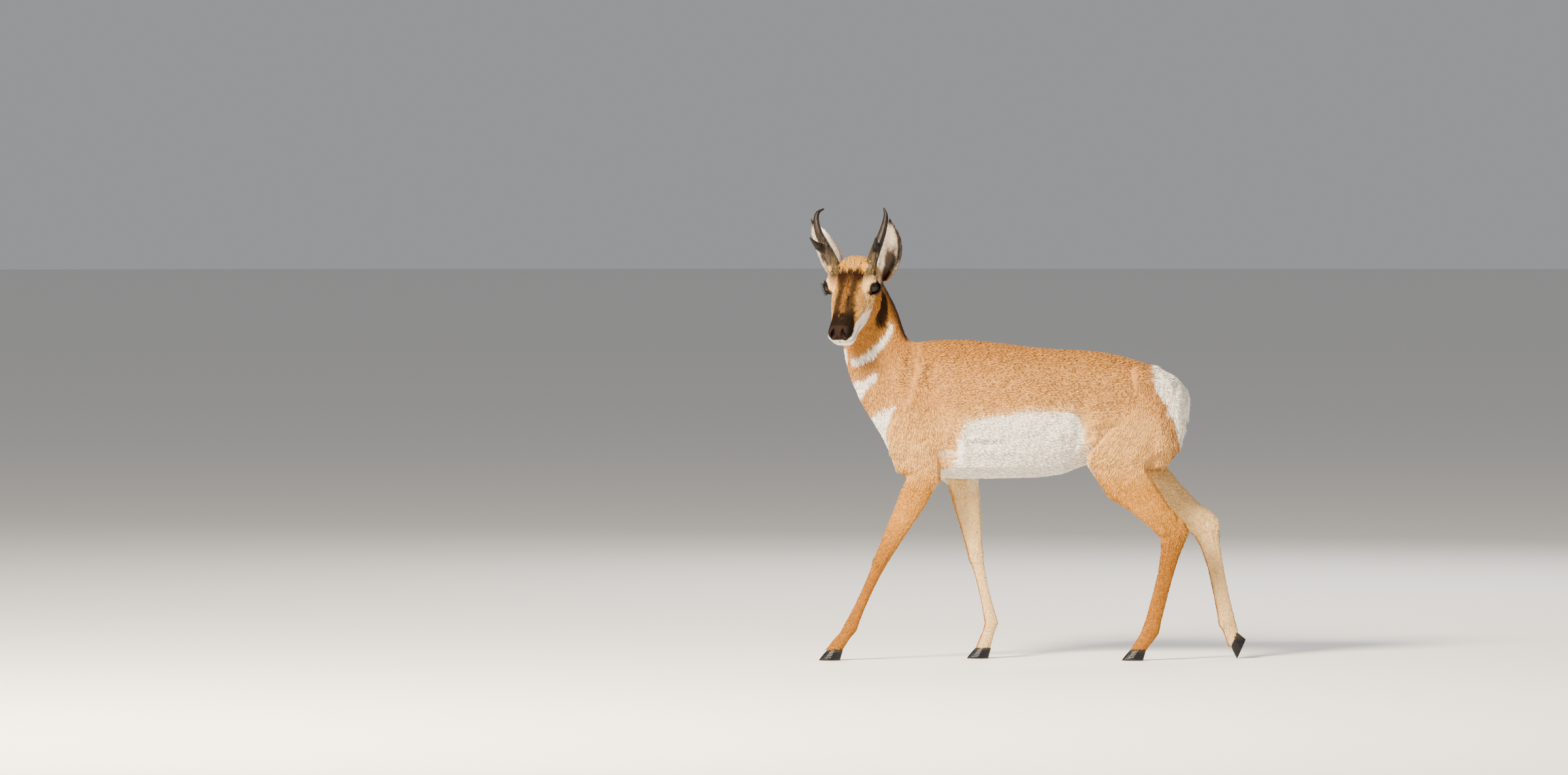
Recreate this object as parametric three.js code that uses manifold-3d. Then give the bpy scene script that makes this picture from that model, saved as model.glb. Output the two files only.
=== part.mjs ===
// A life-size pronghorn buck, walking, with its head turned to its own left.
// Millimetres, +Z up. The animal faces -X and its left side faces -Y. The floor is z = 0.
import * as THREE from "three";
import { mergeVertices } from "three/addons/utils/BufferGeometryUtils.js";
import Module from "manifold-3d";

const wasm = await Module();
wasm.setup();

const PARTING = 0.35; // width of the cuts that part one node of flesh from the next
const LOOSE_FIT = 0.35; // room left round an eye, a horn, an ear or the tail where it meets the flesh
const BODY_SIDES = 18;
const HEAD_SIDES = 16;
const LEG_SIDES = 10;
const HORN_SIDES = 10;
const EAR_SIDES = 10;
const CLAW_SIDES = 12;

// Trunk and neck are one run of slices from the rump to the skull. Each slice has its upper and
// lower point in side view [x, z], the y of its middle, its half-width, and how high it is widest.
const TRUNK_SLICES = [
  { upper: [424, 742], lower: [430, 672], y: 0, half: 52, widest: 0.5 },
  { upper: [404, 776], lower: [416, 612], y: 0, half: 96, widest: 0.5 },
  { upper: [371, 797], lower: [385, 566], y: 0, half: 114, widest: 0.5 },
  { upper: [300, 825], lower: [300, 548], y: 0, half: 122, widest: 0.52 },
  { upper: [197, 851], lower: [170, 540], y: 0, half: 132, widest: 0.46 },
  { upper: [100, 858], lower: [85, 510], y: 0, half: 141, widest: 0.42 },
  { upper: [0, 865], lower: [0, 500], y: 0, half: 143, widest: 0.42 },
  { upper: [-102, 878], lower: [-100, 498], y: 0, half: 138, widest: 0.42 },
  { upper: [-190, 885], lower: [-200, 497], y: 0, half: 128, widest: 0.42 },
  { upper: [-262, 884], lower: [-292, 503], y: 0, half: 117, widest: 0.44 },
  { upper: [-318, 879], lower: [-366, 528], y: 0, half: 108, widest: 0.46 },
  { upper: [-340, 890], lower: [-420, 620], y: -1, half: 99, widest: 0.5 },
  { upper: [-352, 915], lower: [-472, 705], y: -3, half: 88, widest: 0.5 },
  { upper: [-364, 952], lower: [-505, 782], y: -7, half: 77, widest: 0.5 },
  { upper: [-376, 982], lower: [-521, 845], y: -13, half: 69, widest: 0.5 },
  { upper: [-392, 1012], lower: [-524, 895], y: -20, half: 63, widest: 0.5 },
  { upper: [-408, 1042], lower: [-522, 945], y: -28, half: 58, widest: 0.5 },
  { upper: [-424, 1068], lower: [-510, 990], y: -36, half: 50, widest: 0.5 },
];

// Muscles that stand proud of the trunk: middle [x, y, z] on the left, half-sizes, lean in side view.
const SHOULDER = { at: [-318, -68, 668], half: [78, 50, 168], lean: 0.2 };
const HAUNCH = { at: [318, -66, 672], half: [108, 62, 150], lean: -0.1 };

// A leg is four lengths between five joints. The profile gives, at a joint number plus a fraction
// of the way to the next, how far the leg stands out in front, behind and to each side.
const FORE_PROFILE = [
  { along: 0, front: 60, back: 60, side: 34 },
  { along: 0.6, front: 58, back: 56, side: 36 },
  { along: 1, front: 50, back: 50, side: 34 },
  { along: 1.25, front: 41, back: 40, side: 29 },
  { along: 1.5, front: 33, back: 33, side: 24 },
  { along: 1.75, front: 27, back: 26, side: 20.5 },
  { along: 1.92, front: 22.5, back: 22, side: 20.5 },
  { along: 2.02, front: 21, back: 20, side: 19.5 },
  { along: 2.16, front: 17, back: 17.5, side: 15 },
  { along: 2.4, front: 15, back: 15.5, side: 12.5 },
  { along: 2.7, front: 15.5, back: 16, side: 12.5 },
  { along: 2.9, front: 18, back: 18.5, side: 15.5 },
  { along: 3, front: 19, back: 21, side: 17.5 },
  { along: 3.4, front: 16, back: 18, side: 15.5 },
  { along: 3.8, front: 20, back: 19, side: 18 },
  { along: 4.3, front: 22, back: 21, side: 22 },
];
const HIND_PROFILE = [
  { along: 0, front: 92, back: 92, side: 40 },
  { along: 0.5, front: 102, back: 100, side: 48 },
  { along: 1, front: 94, back: 92, side: 44 },
  { along: 1.25, front: 82, back: 52, side: 38 },
  { along: 1.5, front: 57, back: 44, side: 31 },
  { along: 1.75, front: 41, back: 40, side: 25 },
  { along: 1.9, front: 38, back: 51, side: 21.5 },
  { along: 2, front: 37, back: 46, side: 21.5 },
  { along: 2.15, front: 25, back: 33, side: 19 },
  { along: 2.4, front: 18, back: 27, side: 15 },
  { along: 2.7, front: 19, back: 25, side: 14.5 },
  { along: 2.9, front: 21, back: 25, side: 17 },
  { along: 3, front: 24, back: 26, side: 19 },
  { along: 3.4, front: 20, back: 23, side: 16 },
  { along: 3.8, front: 21, back: 20, side: 18 },
  { along: 4.3, front: 22, back: 21, side: 22 },
];

// Joints of each leg [x, y, z] from its hidden root down to the coronet, the heights of the two
// cuts across it, and where its foot stands: the toe's tip in x, and how far the heel is lifted.
const LEGS = {
  foreleg_left: {
    profile: FORE_PROFILE,
    joints: [[-318, -78, 600], [-298, -76, 505], [-417, -64, 276], [-501, -54, 92], [-541, -52, 34]],
    cuts: [490, 278, 94],
    toe: -589,
    tilt: 0,
  },
  foreleg_right: {
    profile: FORE_PROFILE,
    joints: [[-262, 78, 600], [-190, 76, 500], [-152, 64, 278], [-111, 54, 100], [-131, 52, 34]],
    cuts: [488, 280, 100],
    toe: -179,
    tilt: 0,
  },
  hindleg_left: {
    profile: HIND_PROFILE,
    joints: [[322, -84, 690], [236, -88, 548], [388, -70, 346], [326, -60, 84], [297, -58, 34]],
    cuts: [528, 344, 86],
    toe: 246,
    tilt: 0,
  },
  hindleg_right: {
    profile: HIND_PROFILE,
    joints: [[330, 84, 690], [294, 88, 536], [482, 70, 356], [540, 60, 100], [560, 58, 54]],
    cuts: [522, 356, 100],
    toe: 569,
    tilt: 66,
  },
};

// One claw of a hoof, its sole on the floor, from the toe's tip at x = 0 back to the heel.
const HOOF = { length: 60, width: 22, height: 29, coronetStart: 24, coronetEnd: 68, cleft: 2.6 };
const TOE_FLAT = 1.6; // what the floor has worn off the tip of a lifted foot

// The head is modelled nose to -X about the middle of its eyes, then turned and pitched.
const HEAD_AT = [-495, -98, 1035];
const HEAD_YAW = 69.4; // degrees from the trunk's direction round to the animal's left
const HEAD_PITCH = 46.9; // degrees that the nose points down
const HEAD_SLICES = [
  { upper: [-178, -4], lower: [-177, -42], y: 0, half: 26, widest: 0.5 },
  { upper: [-168, 4], lower: [-168, -62], y: 0, half: 36, widest: 0.55 },
  { upper: [-150, 9], lower: [-150, -74], y: 0, half: 38, widest: 0.55 },
  { upper: [-120, 13], lower: [-120, -76], y: 0, half: 39, widest: 0.5 },
  { upper: [-85, 18], lower: [-85, -87], y: 0, half: 48, widest: 0.48 },
  { upper: [-50, 25], lower: [-50, -102], y: 0, half: 57, widest: 0.48 },
  { upper: [-20, 34], lower: [-18, -114], y: 0, half: 61, widest: 0.5 },
  { upper: [12, 43], lower: [14, -119], y: 0, half: 62, widest: 0.5 },
  { upper: [45, 45], lower: [44, -114], y: 0, half: 62, widest: 0.5 },
  { upper: [74, 33], lower: [68, -94], y: 0, half: 56, widest: 0.5 },
  { upper: [93, 12], lower: [86, -62], y: 0, half: 36, widest: 0.5 },
];
const HEAD_SQUARE = 0.84;
const BROW = { at: [2, 51, 11], half: [34, 20, 26] };
const CHEEK = { at: [2, 42, -64], half: [56, 25, 49] };
const EYE = { at: [-4, 60, 1], half: [20, 20, 20] };
const JAW_CUT = { at: [-55, 0, -56], size: [320, 150, PARTING], slope: 7 };
const THROAT_CUT = { at: [-450, -10, 962], size: [320, 300, PARTING], slope: 32 };

// Horns: from the base in the head's own frame up through world points, as offsets from the base.
// Depth is measured across the camera's view of the horn's side, width in the plane of its curve.
const HORN = {
  base: [34, 51, 31],
  sunk: 16,
  depths: [23, 23, 21, 15, 9.5, 7, 2.8],
  widths: [15, 15, 13.4, 10.6, 7.6, 5.6, 2.6],
  steps: 12,
};
const HORN_RISES = {
  left: [[0, 0, 0], [14, -4, 48], [33, -4, 98], [42, 4, 134], [42.5, 9, 150], [38, 13, 165]],
  right: [[0, 0, 0], [-19, -2, 46], [-45.5, -2, 96], [-53, 5, 137], [-48, 9, 154], [-33, 12, 163]],
};
const PRONG = { from: 0.225, widths: [9, 8, 2.8], heights: [19, 11, 2.6], steps: 4, sides: 8 };
const PRONG_REACH = {
  left: [[0, 0, 0], [-2, -26, 10], [-1, -40, 31]],
  right: [[0, 0, 0], [-26, -22, 9], [-47, -30, 32]],
};

// Ears: root in the head's own frame, tip in the world, and the way the opening faces.
const EAR_ROOT = [56, 62, -42];
const EARS = {
  left: { tip: [-393, -58, 1214], bow: [13, 10, 0], faces: [-0.12, -1, 0.05] },
  right: { tip: [-607, -8, 1212], bow: [4, 14, 0], faces: [-0.5, -0.86, 0.05] },
};
const EAR = {
  widths: [12, 25, 32, 33.5, 32, 27, 16, 3],
  depths: [14, 20, 21, 20, 17, 13, 8, 2.5],
  wall: 5,
  opening: 12,
  steps: 9,
};

const TAIL = {
  spine: [[366, 0, 772], [408, 0, 752], [426, 0, 710], [430, 0, 668]],
  widths: [20, 24, 20, 7],
  depths: [16, 15, 12, 5],
};

const COAT_TAN = 0xbd8a58;
const COAT_LEG = 0xc79560;
const COAT_DARK = 0x4a3222;
const COAT_WHITE = 0xf0e9df;
const HORN_BLACK = 0x221a15;
const EYE_BLACK = 0x0c0a09;
const HOOF_BLACK = 0x17181c;

const radians = (degrees) => (degrees * Math.PI) / 180;

// A value read off evenly spaced samples, on a smooth curve through them.
function smooth(samples, at) {
  const i = Math.min(Math.floor(at), samples.length - 2);
  const t = at - i;
  const before = samples[Math.max(i - 1, 0)];
  const from = samples[i];
  const to = samples[i + 1];
  const after = samples[Math.min(i + 2, samples.length - 1)];
  const bend = 2 * before - 5 * from + 4 * to - after;
  const twist = 3 * from - before - 3 * to + after;
  return from + 0.5 * t * (to - before + t * (bend + t * twist));
}

// A round or squarish ring about a middle, with its own reach up, down and to each side.
function ring({ middle, upward, sideways, up, down, side, square, sides }) {
  const points = [];
  for (let i = 0; i < sides; i++) {
    const turn = (2 * Math.PI * i) / sides;
    const c = Math.sign(Math.cos(turn)) * Math.abs(Math.cos(turn)) ** square;
    const s = Math.sign(Math.sin(turn)) * Math.abs(Math.sin(turn)) ** square;
    const reach = c > 0 ? up : down;
    points.push(middle.clone().addScaledVector(upward, c * reach).addScaledVector(sideways, s * side));
  }
  return points;
}

const average = (points) => points.reduce((sum, p) => sum.add(p), new THREE.Vector3()).divideScalar(points.length);

// A closed body through a run of rings, each end shut by a fan, domed where a height is given.
function skinRings(rings, domes = [0, 0]) {
  const rows = rings.map((points) => points.map((p) => p.clone()));
  const poles = [average(rows[0]), average(rows[rows.length - 1])];
  const next = [average(rows[1]), average(rows[rows.length - 2])];
  domes.forEach((height, end) => {
    if (!height) return;
    const out = poles[end].clone().sub(next[end]).normalize();
    const edge = end ? rows[rows.length - 1] : rows[0];
    const middle = poles[end].clone();
    for (const turn of [0.5, 0.95, 1.3]) {
      const row = edge.map((p) => p.clone().sub(middle).multiplyScalar(Math.cos(turn)).add(middle));
      row.forEach((p) => p.addScaledVector(out, height * Math.sin(turn)));
      if (end) rows.push(row);
      else rows.unshift(row);
    }
    poles[end].addScaledVector(out, height);
  });
  const sides = rows[0].length;
  const positions = [...rows.flat(), ...poles].flatMap((p) => [p.x, p.y, p.z]);
  const faces = [];
  for (let i = 0; i < rows.length - 1; i++) {
    for (let j = 0; j < sides; j++) {
      const a = i * sides + j;
      const b = i * sides + ((j + 1) % sides);
      faces.push(a, b, a + sides, b, b + sides, a + sides);
    }
  }
  const last = (rows.length - 1) * sides;
  for (let j = 0; j < sides; j++) {
    const k = (j + 1) % sides;
    faces.push(rows.length * sides, k, j);
    faces.push(rows.length * sides + 1, last + j, last + k);
  }
  const geometry = new THREE.BufferGeometry();
  geometry.setAttribute("position", new THREE.Float32BufferAttribute(positions, 3));
  geometry.setIndex(faces);
  return geometry;
}

// A body lofted through slices that stand across the animal's own long plane.
function loft(slices, { perGap, sides, square = 1, grow = 0, domes }) {
  const rings = [];
  const read = (pick, at) => smooth(slices.map(pick), at);
  const count = (slices.length - 1) * perGap;
  for (let i = 0; i <= count; i++) {
    const at = i / perGap;
    const upper = new THREE.Vector3(read((s) => s.upper[0], at), 0, read((s) => s.upper[1], at));
    const lower = new THREE.Vector3(read((s) => s.lower[0], at), 0, read((s) => s.lower[1], at));
    const upward = upper.clone().sub(lower);
    const tall = upward.length();
    upward.normalize();
    const widest = read((s) => s.widest, at);
    const middle = lower.clone().addScaledVector(upward, tall * widest);
    middle.y = read((s) => s.y, at);
    rings.push(
      ring({
        middle,
        upward,
        sideways: new THREE.Vector3(0, 1, 0),
        up: tall * (1 - widest) + grow,
        down: tall * widest + grow,
        side: read((s) => s.half, at) + grow,
        square,
        sides,
      }),
    );
  }
  return skinRings(rings, domes);
}

// A body along a curved spine, wide across one direction and deep across the other.
function sweep(spine, widths, depths, facing, { steps, sides, grow = 0, domes }) {
  const curve = new THREE.CatmullRomCurve3(spine.map((p) => new THREE.Vector3(...p)));
  const rings = [];
  for (let i = 0; i <= steps; i++) {
    const t = i / steps;
    const tangent = curve.getTangent(t);
    const sideways = new THREE.Vector3().crossVectors(facing, tangent).normalize();
    const upward = new THREE.Vector3().crossVectors(tangent, sideways).normalize();
    rings.push(
      ring({
        middle: curve.getPoint(t),
        upward,
        sideways,
        up: smooth(depths, t * (depths.length - 1)) + grow,
        down: smooth(depths, t * (depths.length - 1)) + grow,
        side: smooth(widths, t * (widths.length - 1)) + grow,
        square: 1,
        sides,
      }),
    );
  }
  return skinRings(rings, domes);
}

function toSolid(geometry) {
  const bare = geometry.clone();
  bare.deleteAttribute("normal");
  bare.deleteAttribute("uv");
  const merged = mergeVertices(bare, 1e-4);
  const made = new wasm.Manifold(
    new wasm.Mesh({
      numProp: 3,
      vertProperties: new Float32Array(merged.attributes.position.array),
      triVerts: new Uint32Array(merged.index.array),
    }),
  );
  if (made.volume() > 0) return made;
  const turned = new Uint32Array(merged.index.array);
  for (let i = 0; i < turned.length; i += 3) [turned[i + 1], turned[i + 2]] = [turned[i + 2], turned[i + 1]];
  return new wasm.Manifold(
    new wasm.Mesh({
      numProp: 3,
      vertProperties: new Float32Array(merged.attributes.position.array),
      triVerts: turned,
    }),
  );
}

function toGeometry(solid) {
  const mesh = solid.getMesh();
  const geometry = new THREE.BufferGeometry();
  const positions = new Float32Array(mesh.numVert * 3);
  for (let i = 0; i < mesh.numVert; i++) {
    positions.set(mesh.vertProperties.subarray(i * mesh.numProp, i * mesh.numProp + 3), i * 3);
  }
  geometry.setAttribute("position", new THREE.BufferAttribute(positions, 3));
  geometry.setIndex(new THREE.BufferAttribute(new Uint32Array(mesh.triVerts), 1));
  geometry.computeVertexNormals();
  return geometry;
}

const largest = (solid) => solid.decompose().sort((a, b) => b.volume() - a.volume())[0];

function box(size, at, turn = 0) {
  const geometry = new THREE.BoxGeometry(...size);
  geometry.rotateY(turn);
  geometry.translate(...at);
  return geometry;
}

function ellipsoid({ at, half, lean = 0 }, grow, detail = [10, 7]) {
  const geometry = new THREE.SphereGeometry(1, ...detail);
  geometry.rotateX(Math.PI / 2);
  geometry.scale(...half.map((h) => h + grow));
  geometry.rotateY(lean);
  geometry.translate(...at);
  return geometry;
}

const mirrored = (piece) => ({ ...piece, at: [piece.at[0], -piece.at[1], piece.at[2]] });

// The head's frame: nose along -X, crown along +Z, set to the yaw and pitch of the pose.
function headMatrix() {
  const yaw = radians(HEAD_YAW);
  const pitch = radians(HEAD_PITCH);
  const nose = new THREE.Vector3(
    -Math.cos(yaw) * Math.cos(pitch),
    -Math.sin(yaw) * Math.cos(pitch),
    -Math.sin(pitch),
  );
  const left = new THREE.Vector3(Math.sin(yaw), -Math.cos(yaw), 0);
  const crown = new THREE.Vector3().crossVectors(nose, left);
  const matrix = new THREE.Matrix4().makeBasis(nose.negate(), left.negate(), crown);
  return matrix.setPosition(...HEAD_AT);
}

const onHead = (point) => new THREE.Vector3(...point).applyMatrix4(headMatrix());

function headShape(grow) {
  const skull = loft(HEAD_SLICES, { perGap: 2, sides: HEAD_SIDES, square: HEAD_SQUARE, grow, domes: [6, 12] });
  let shape = toSolid(skull);
  for (const bulge of [BROW, CHEEK, mirrored(BROW), mirrored(CHEEK)]) {
    shape = shape.add(toSolid(ellipsoid(bulge, grow)));
  }
  return toSolid(toGeometry(shape).applyMatrix4(headMatrix()));
}

function trunkShape(grow) {
  let shape = toSolid(loft(TRUNK_SLICES, { perGap: 2, sides: BODY_SIDES, square: 0.94, grow, domes: [10, 30] }));
  for (const muscle of [SHOULDER, HAUNCH]) {
    shape = shape.add(toSolid(ellipsoid(muscle, grow)));
    shape = shape.add(toSolid(ellipsoid(mirrored(muscle), grow)));
  }
  return shape;
}

// Turns a profile into slices square to the run of the joints.
function legSlices({ joints, profile }) {
  const points = joints.map((p) => new THREE.Vector3(...p));
  points.push(points[4].clone().multiplyScalar(2).sub(points[3]));
  const direction = (i) => points[i + 1].clone().sub(points[i]).setY(0).normalize();
  return profile.map(({ along, front, back, side }) => {
    const length = Math.min(Math.floor(along), points.length - 2);
    const t = along - length;
    const middle = points[length].clone().lerp(points[length + 1], t);
    const near = t < 0.5 ? Math.max(length - 1, 0) : Math.min(length + 1, points.length - 2);
    const blend = Math.max(0, 0.5 - Math.min(t, 1 - t) / 0.5);
    const run = direction(length).lerp(direction(near), blend).normalize();
    const forward = new THREE.Vector3(run.z, 0, -run.x);
    return {
      upper: [middle.x + forward.x * front, middle.z + forward.z * front],
      lower: [middle.x - forward.x * back, middle.z - forward.z * back],
      y: middle.y,
      half: side,
      widest: back / (front + back),
    };
  });
}

// The foot's frame: the toe's tip at the given x, the heel lifted about it.
function footMatrix({ toe, tilt, joints }) {
  const turned = new THREE.Matrix4().makeRotationY(radians(-tilt));
  const lift = tilt ? -TOE_FLAT : 0;
  return turned.setPosition(toe, joints[4][1], lift);
}

function legShape(leg, grow) {
  const shape = toSolid(loft(legSlices(leg), { perGap: 1, sides: LEG_SIDES, square: 0.92, grow }));
  const below = box([300, 120, 200], [0, 0, HOOF.height - 100 + PARTING]);
  return shape.subtract(toSolid(below.applyMatrix4(footMatrix(leg))));
}

function flesh(grow) {
  let shape = trunkShape(grow).add(headShape(grow));
  for (const leg of Object.values(LEGS)) shape = shape.add(legShape(leg, grow));
  return shape;
}

// One claw: rings from the sole up to the coronet, pointed at the toe and rounded at the heel.
function clawGeometry(side) {
  const rings = [0, 0.12, 0.55, 1].map((rise) => {
    const start = HOOF.coronetStart * rise ** 1.1;
    const end = HOOF.length + (HOOF.coronetEnd - HOOF.length) * rise;
    const half = (HOOF.width / 2) * (rise ? 1 - 0.1 * (rise - 0.12) : 0.93);
    const points = [];
    for (let i = 0; i < CLAW_SIDES; i++) {
      const turn = (2 * Math.PI * i) / CLAW_SIDES;
      const x = (start + end) / 2 - (Math.cos(turn) * (end - start)) / 2;
      const taper = 1 - 0.42 * Math.max(0, Math.cos(turn)) ** 1.5;
      const inward = side * 3.2 * Math.max(0, Math.cos(turn)) ** 2;
      const y = Math.sin(turn) * half * taper + side * (HOOF.cleft / 2 + half) - inward;
      points.push(new THREE.Vector3(x, y, rise * HOOF.height));
    }
    return points;
  });
  return skinRings(rings);
}

function claw(leg, side) {
  const floor = toSolid(box([4000, 4000, 100], [0, 0, -50]));
  const gap = toSolid(box([200, HOOF.cleft, 200], [30, 0, 20]));
  const cut = toSolid(clawGeometry(side)).subtract(gap);
  return toSolid(toGeometry(cut).applyMatrix4(footMatrix(leg))).subtract(floor);
}

function eyeShape(side, grow) {
  const eye = side === "left" ? mirrored(EYE) : EYE;
  return toSolid(ellipsoid(eye, grow, [12, 10]).applyMatrix4(headMatrix()));
}

function hornShape(side, grow) {
  const out = side === "left" ? -1 : 1;
  const base = onHead([HORN.base[0], out * HORN.base[1], HORN.base[2]]);
  const lift = (point) => [base.x + point[0], base.y + point[1], base.z + point[2]];
  const facing = new THREE.Vector3(1, 0.3, 0).normalize();
  const rises = HORN_RISES[side].map(lift);
  const shaft = sweep([lift([0, 3, -HORN.sunk]), ...rises], HORN.depths, HORN.widths, facing, {
    steps: HORN.steps,
    sides: HORN_SIDES,
    grow,
    domes: [0, 3],
  });
  const curve = new THREE.CatmullRomCurve3(rises.map((p) => new THREE.Vector3(...p)));
  const root = curve.getPoint(PRONG.from);
  const reach = PRONG_REACH[side].map((p) => [root.x + p[0], root.y + p[1], root.z + p[2]]);
  const level = new THREE.Vector3(0.3, 0, 1).normalize();
  const prong = sweep(reach, PRONG.widths, PRONG.heights, level, {
    steps: PRONG.steps,
    sides: PRONG.sides,
    grow,
    domes: [0, 2],
  });
  return toSolid(shaft).add(toSolid(prong));
}

// An ear is a leaf-shaped spindle hollowed by a smaller one that lies nearer its opening.
function earShape(side) {
  const out = side === "left" ? -1 : 1;
  const root = onHead([EAR_ROOT[0], out * EAR_ROOT[1], EAR_ROOT[2]]);
  const { tip, bow, faces } = EARS[side];
  const end = new THREE.Vector3(...tip);
  const middle = root.clone().lerp(end, 0.5).add(new THREE.Vector3(...bow));
  const facing = new THREE.Vector3(...faces).normalize();
  const spine = [root, middle, end];
  const asPoints = (shift) => spine.map((p) => p.clone().addScaledVector(facing, shift).toArray());
  const outer = sweep(asPoints(0), EAR.widths, EAR.depths, facing, {
    steps: EAR.steps,
    sides: EAR_SIDES,
    domes: [0, 2],
  });
  const thinner = (sizes) => sizes.map((size) => Math.max(size - EAR.wall, 0.8));
  const inner = sweep(asPoints(EAR.opening), thinner(EAR.widths), EAR.depths, facing, {
    steps: EAR.steps,
    sides: EAR_SIDES,
  });
  return toSolid(outer).subtract(toSolid(inner));
}

function tailShape() {
  const facing = new THREE.Vector3(1, 0, 0.4).normalize();
  return toSolid(sweep(TAIL.spine, TAIL.widths, TAIL.depths, facing, { steps: 7, sides: 10, domes: [0, 6] }));
}

// Thin cuts that part the flesh: across the neck's root, behind the skull, along the mouth and
// across each leg at the elbow or stifle, the knee or hock, and the fetlock.
function partingCuts() {
  const cuts = [];
  cuts.push(toSolid(box([PARTING, 420, 460], [-395, 0, 772], 0.39)));
  const underJaw = new THREE.BoxGeometry(...THROAT_CUT.size).rotateX(radians(THROAT_CUT.slope));
  cuts.push(toSolid(underJaw.translate(...THROAT_CUT.at)));
  const mouth = box(JAW_CUT.size, JAW_CUT.at, radians(JAW_CUT.slope)).applyMatrix4(headMatrix());
  cuts.push(toSolid(mouth));
  for (const [name, leg] of Object.entries(LEGS)) {
    const side = name.endsWith("left") ? -1 : 1;
    const [top, middle, low] = leg.cuts;
    cuts.push(toSolid(box([230, 136, PARTING], [leg.joints[1][0] + 5, side * 72, top])));
    cuts.push(toSolid(box([150, 110, PARTING], [leg.joints[2][0], side * 62, middle])));
    cuts.push(toSolid(box([110, 100, PARTING], [leg.joints[3][0], side * 56, low])));
  }
  return cuts;
}

function add(group, name, geometry, color, roughness, metalness = 0) {
  const material = new THREE.MeshStandardMaterial({ color, roughness, metalness });
  const mesh = new THREE.Mesh(geometry, material);
  mesh.name = name;
  group.add(mesh);
  return mesh;
}

// Where each node of flesh has its middle, so that a piece left by the cuts is known by its place.
function fleshNodes() {
  const nodes = [
    { name: "trunk", at: [30, 0, 690], color: COAT_TAN },
    { name: "neck", at: [-430, -10, 860], color: COAT_TAN },
    { name: "head", at: [-500, -110, 1020], color: COAT_DARK },
    { name: "jaw", at: onHead([-70, 0, -75]).toArray(), color: COAT_WHITE },
  ];
  for (const [name, leg] of Object.entries(LEGS)) {
    const [, stifle, hock, fetlock, coronet] = leg.joints;
    const between = (a, b) => a.map((value, i) => (value + b[i]) / 2);
    const upper = name.startsWith("fore") ? "forearm" : "shank";
    nodes.push({ name: name + "_" + upper, at: between(stifle, hock), color: COAT_LEG });
    nodes.push({ name: name + "_cannon", at: between(hock, fetlock), color: COAT_LEG });
    nodes.push({ name: name + "_pastern", at: between(fetlock, coronet), color: COAT_LEG });
  }
  return nodes;
}

function fleshPieces(group) {
  let whole = flesh(0);
  for (const side of ["left", "right"]) {
    whole = whole.subtract(eyeShape(side, LOOSE_FIT)).subtract(hornShape(side, LOOSE_FIT));
  }
  for (const cut of partingCuts()) whole = whole.subtract(cut);
  const pieces = whole.decompose().filter((piece) => piece.volume() > 500);
  const nodes = fleshNodes();
  if (pieces.length !== nodes.length) throw new Error(pieces.length + " pieces for " + nodes.length + " nodes");
  for (const { name, at, color } of nodes) {
    const middle = (piece) => {
      const { min, max } = piece.boundingBox();
      return new THREE.Vector3(...min).add(new THREE.Vector3(...max)).multiplyScalar(0.5);
    };
    const target = new THREE.Vector3(...at);
    pieces.sort((a, b) => middle(a).distanceTo(target) - middle(b).distanceTo(target));
    add(group, name, toGeometry(pieces.shift()), color, 0.85);
  }
}

function buildPronghorn() {
  const buck = new THREE.Group();
  fleshPieces(buck);
  const grown = flesh(LOOSE_FIT);
  for (const side of ["left", "right"]) {
    add(buck, "ear_" + side, toGeometry(largest(earShape(side).subtract(grown))), COAT_TAN, 0.85);
    add(buck, "eye_" + side, toGeometry(eyeShape(side, 0)), EYE_BLACK, 0.08);
    add(buck, "horn_" + side, toGeometry(hornShape(side, 0)), HORN_BLACK, 0.5);
  }
  add(buck, "tail", toGeometry(largest(tailShape().subtract(grown))), COAT_WHITE, 0.85);
  for (const [name, leg] of Object.entries(LEGS)) {
    const outward = name.endsWith("left") ? -1 : 1;
    add(buck, name + "_hoof_outer", toGeometry(claw(leg, outward)), HOOF_BLACK, 0.3);
    add(buck, name + "_hoof_inner", toGeometry(claw(leg, -outward)), HOOF_BLACK, 0.3);
  }
  // The origin is the middle of the animal's footprint box, on the floor.
  const bounds = new THREE.Box3().setFromObject(buck);
  const middle = bounds.getCenter(new THREE.Vector3());
  buck.position.set(-middle.x, -middle.y, -bounds.min.z);
  return buck;
}

export default buildPronghorn();
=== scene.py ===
import math
import time

import bmesh
import bpy
import numpy as np
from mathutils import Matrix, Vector


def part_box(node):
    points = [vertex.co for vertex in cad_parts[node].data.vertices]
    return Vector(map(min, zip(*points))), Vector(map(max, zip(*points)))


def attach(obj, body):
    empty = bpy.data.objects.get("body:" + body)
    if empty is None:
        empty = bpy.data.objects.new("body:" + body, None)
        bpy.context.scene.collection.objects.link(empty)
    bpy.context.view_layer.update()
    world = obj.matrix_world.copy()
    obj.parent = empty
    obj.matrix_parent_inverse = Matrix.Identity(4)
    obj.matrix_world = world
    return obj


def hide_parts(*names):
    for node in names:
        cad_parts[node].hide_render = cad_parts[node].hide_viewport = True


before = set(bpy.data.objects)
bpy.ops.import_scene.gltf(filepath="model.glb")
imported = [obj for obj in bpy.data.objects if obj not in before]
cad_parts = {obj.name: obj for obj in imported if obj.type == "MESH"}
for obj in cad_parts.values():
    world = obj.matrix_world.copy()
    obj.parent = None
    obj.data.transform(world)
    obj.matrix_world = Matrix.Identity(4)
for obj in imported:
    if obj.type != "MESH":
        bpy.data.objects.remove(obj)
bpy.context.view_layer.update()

startTime = time.time()


def report(stage):
    print(f"{stage}: {time.time() - startTime:.1f} s")


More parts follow.
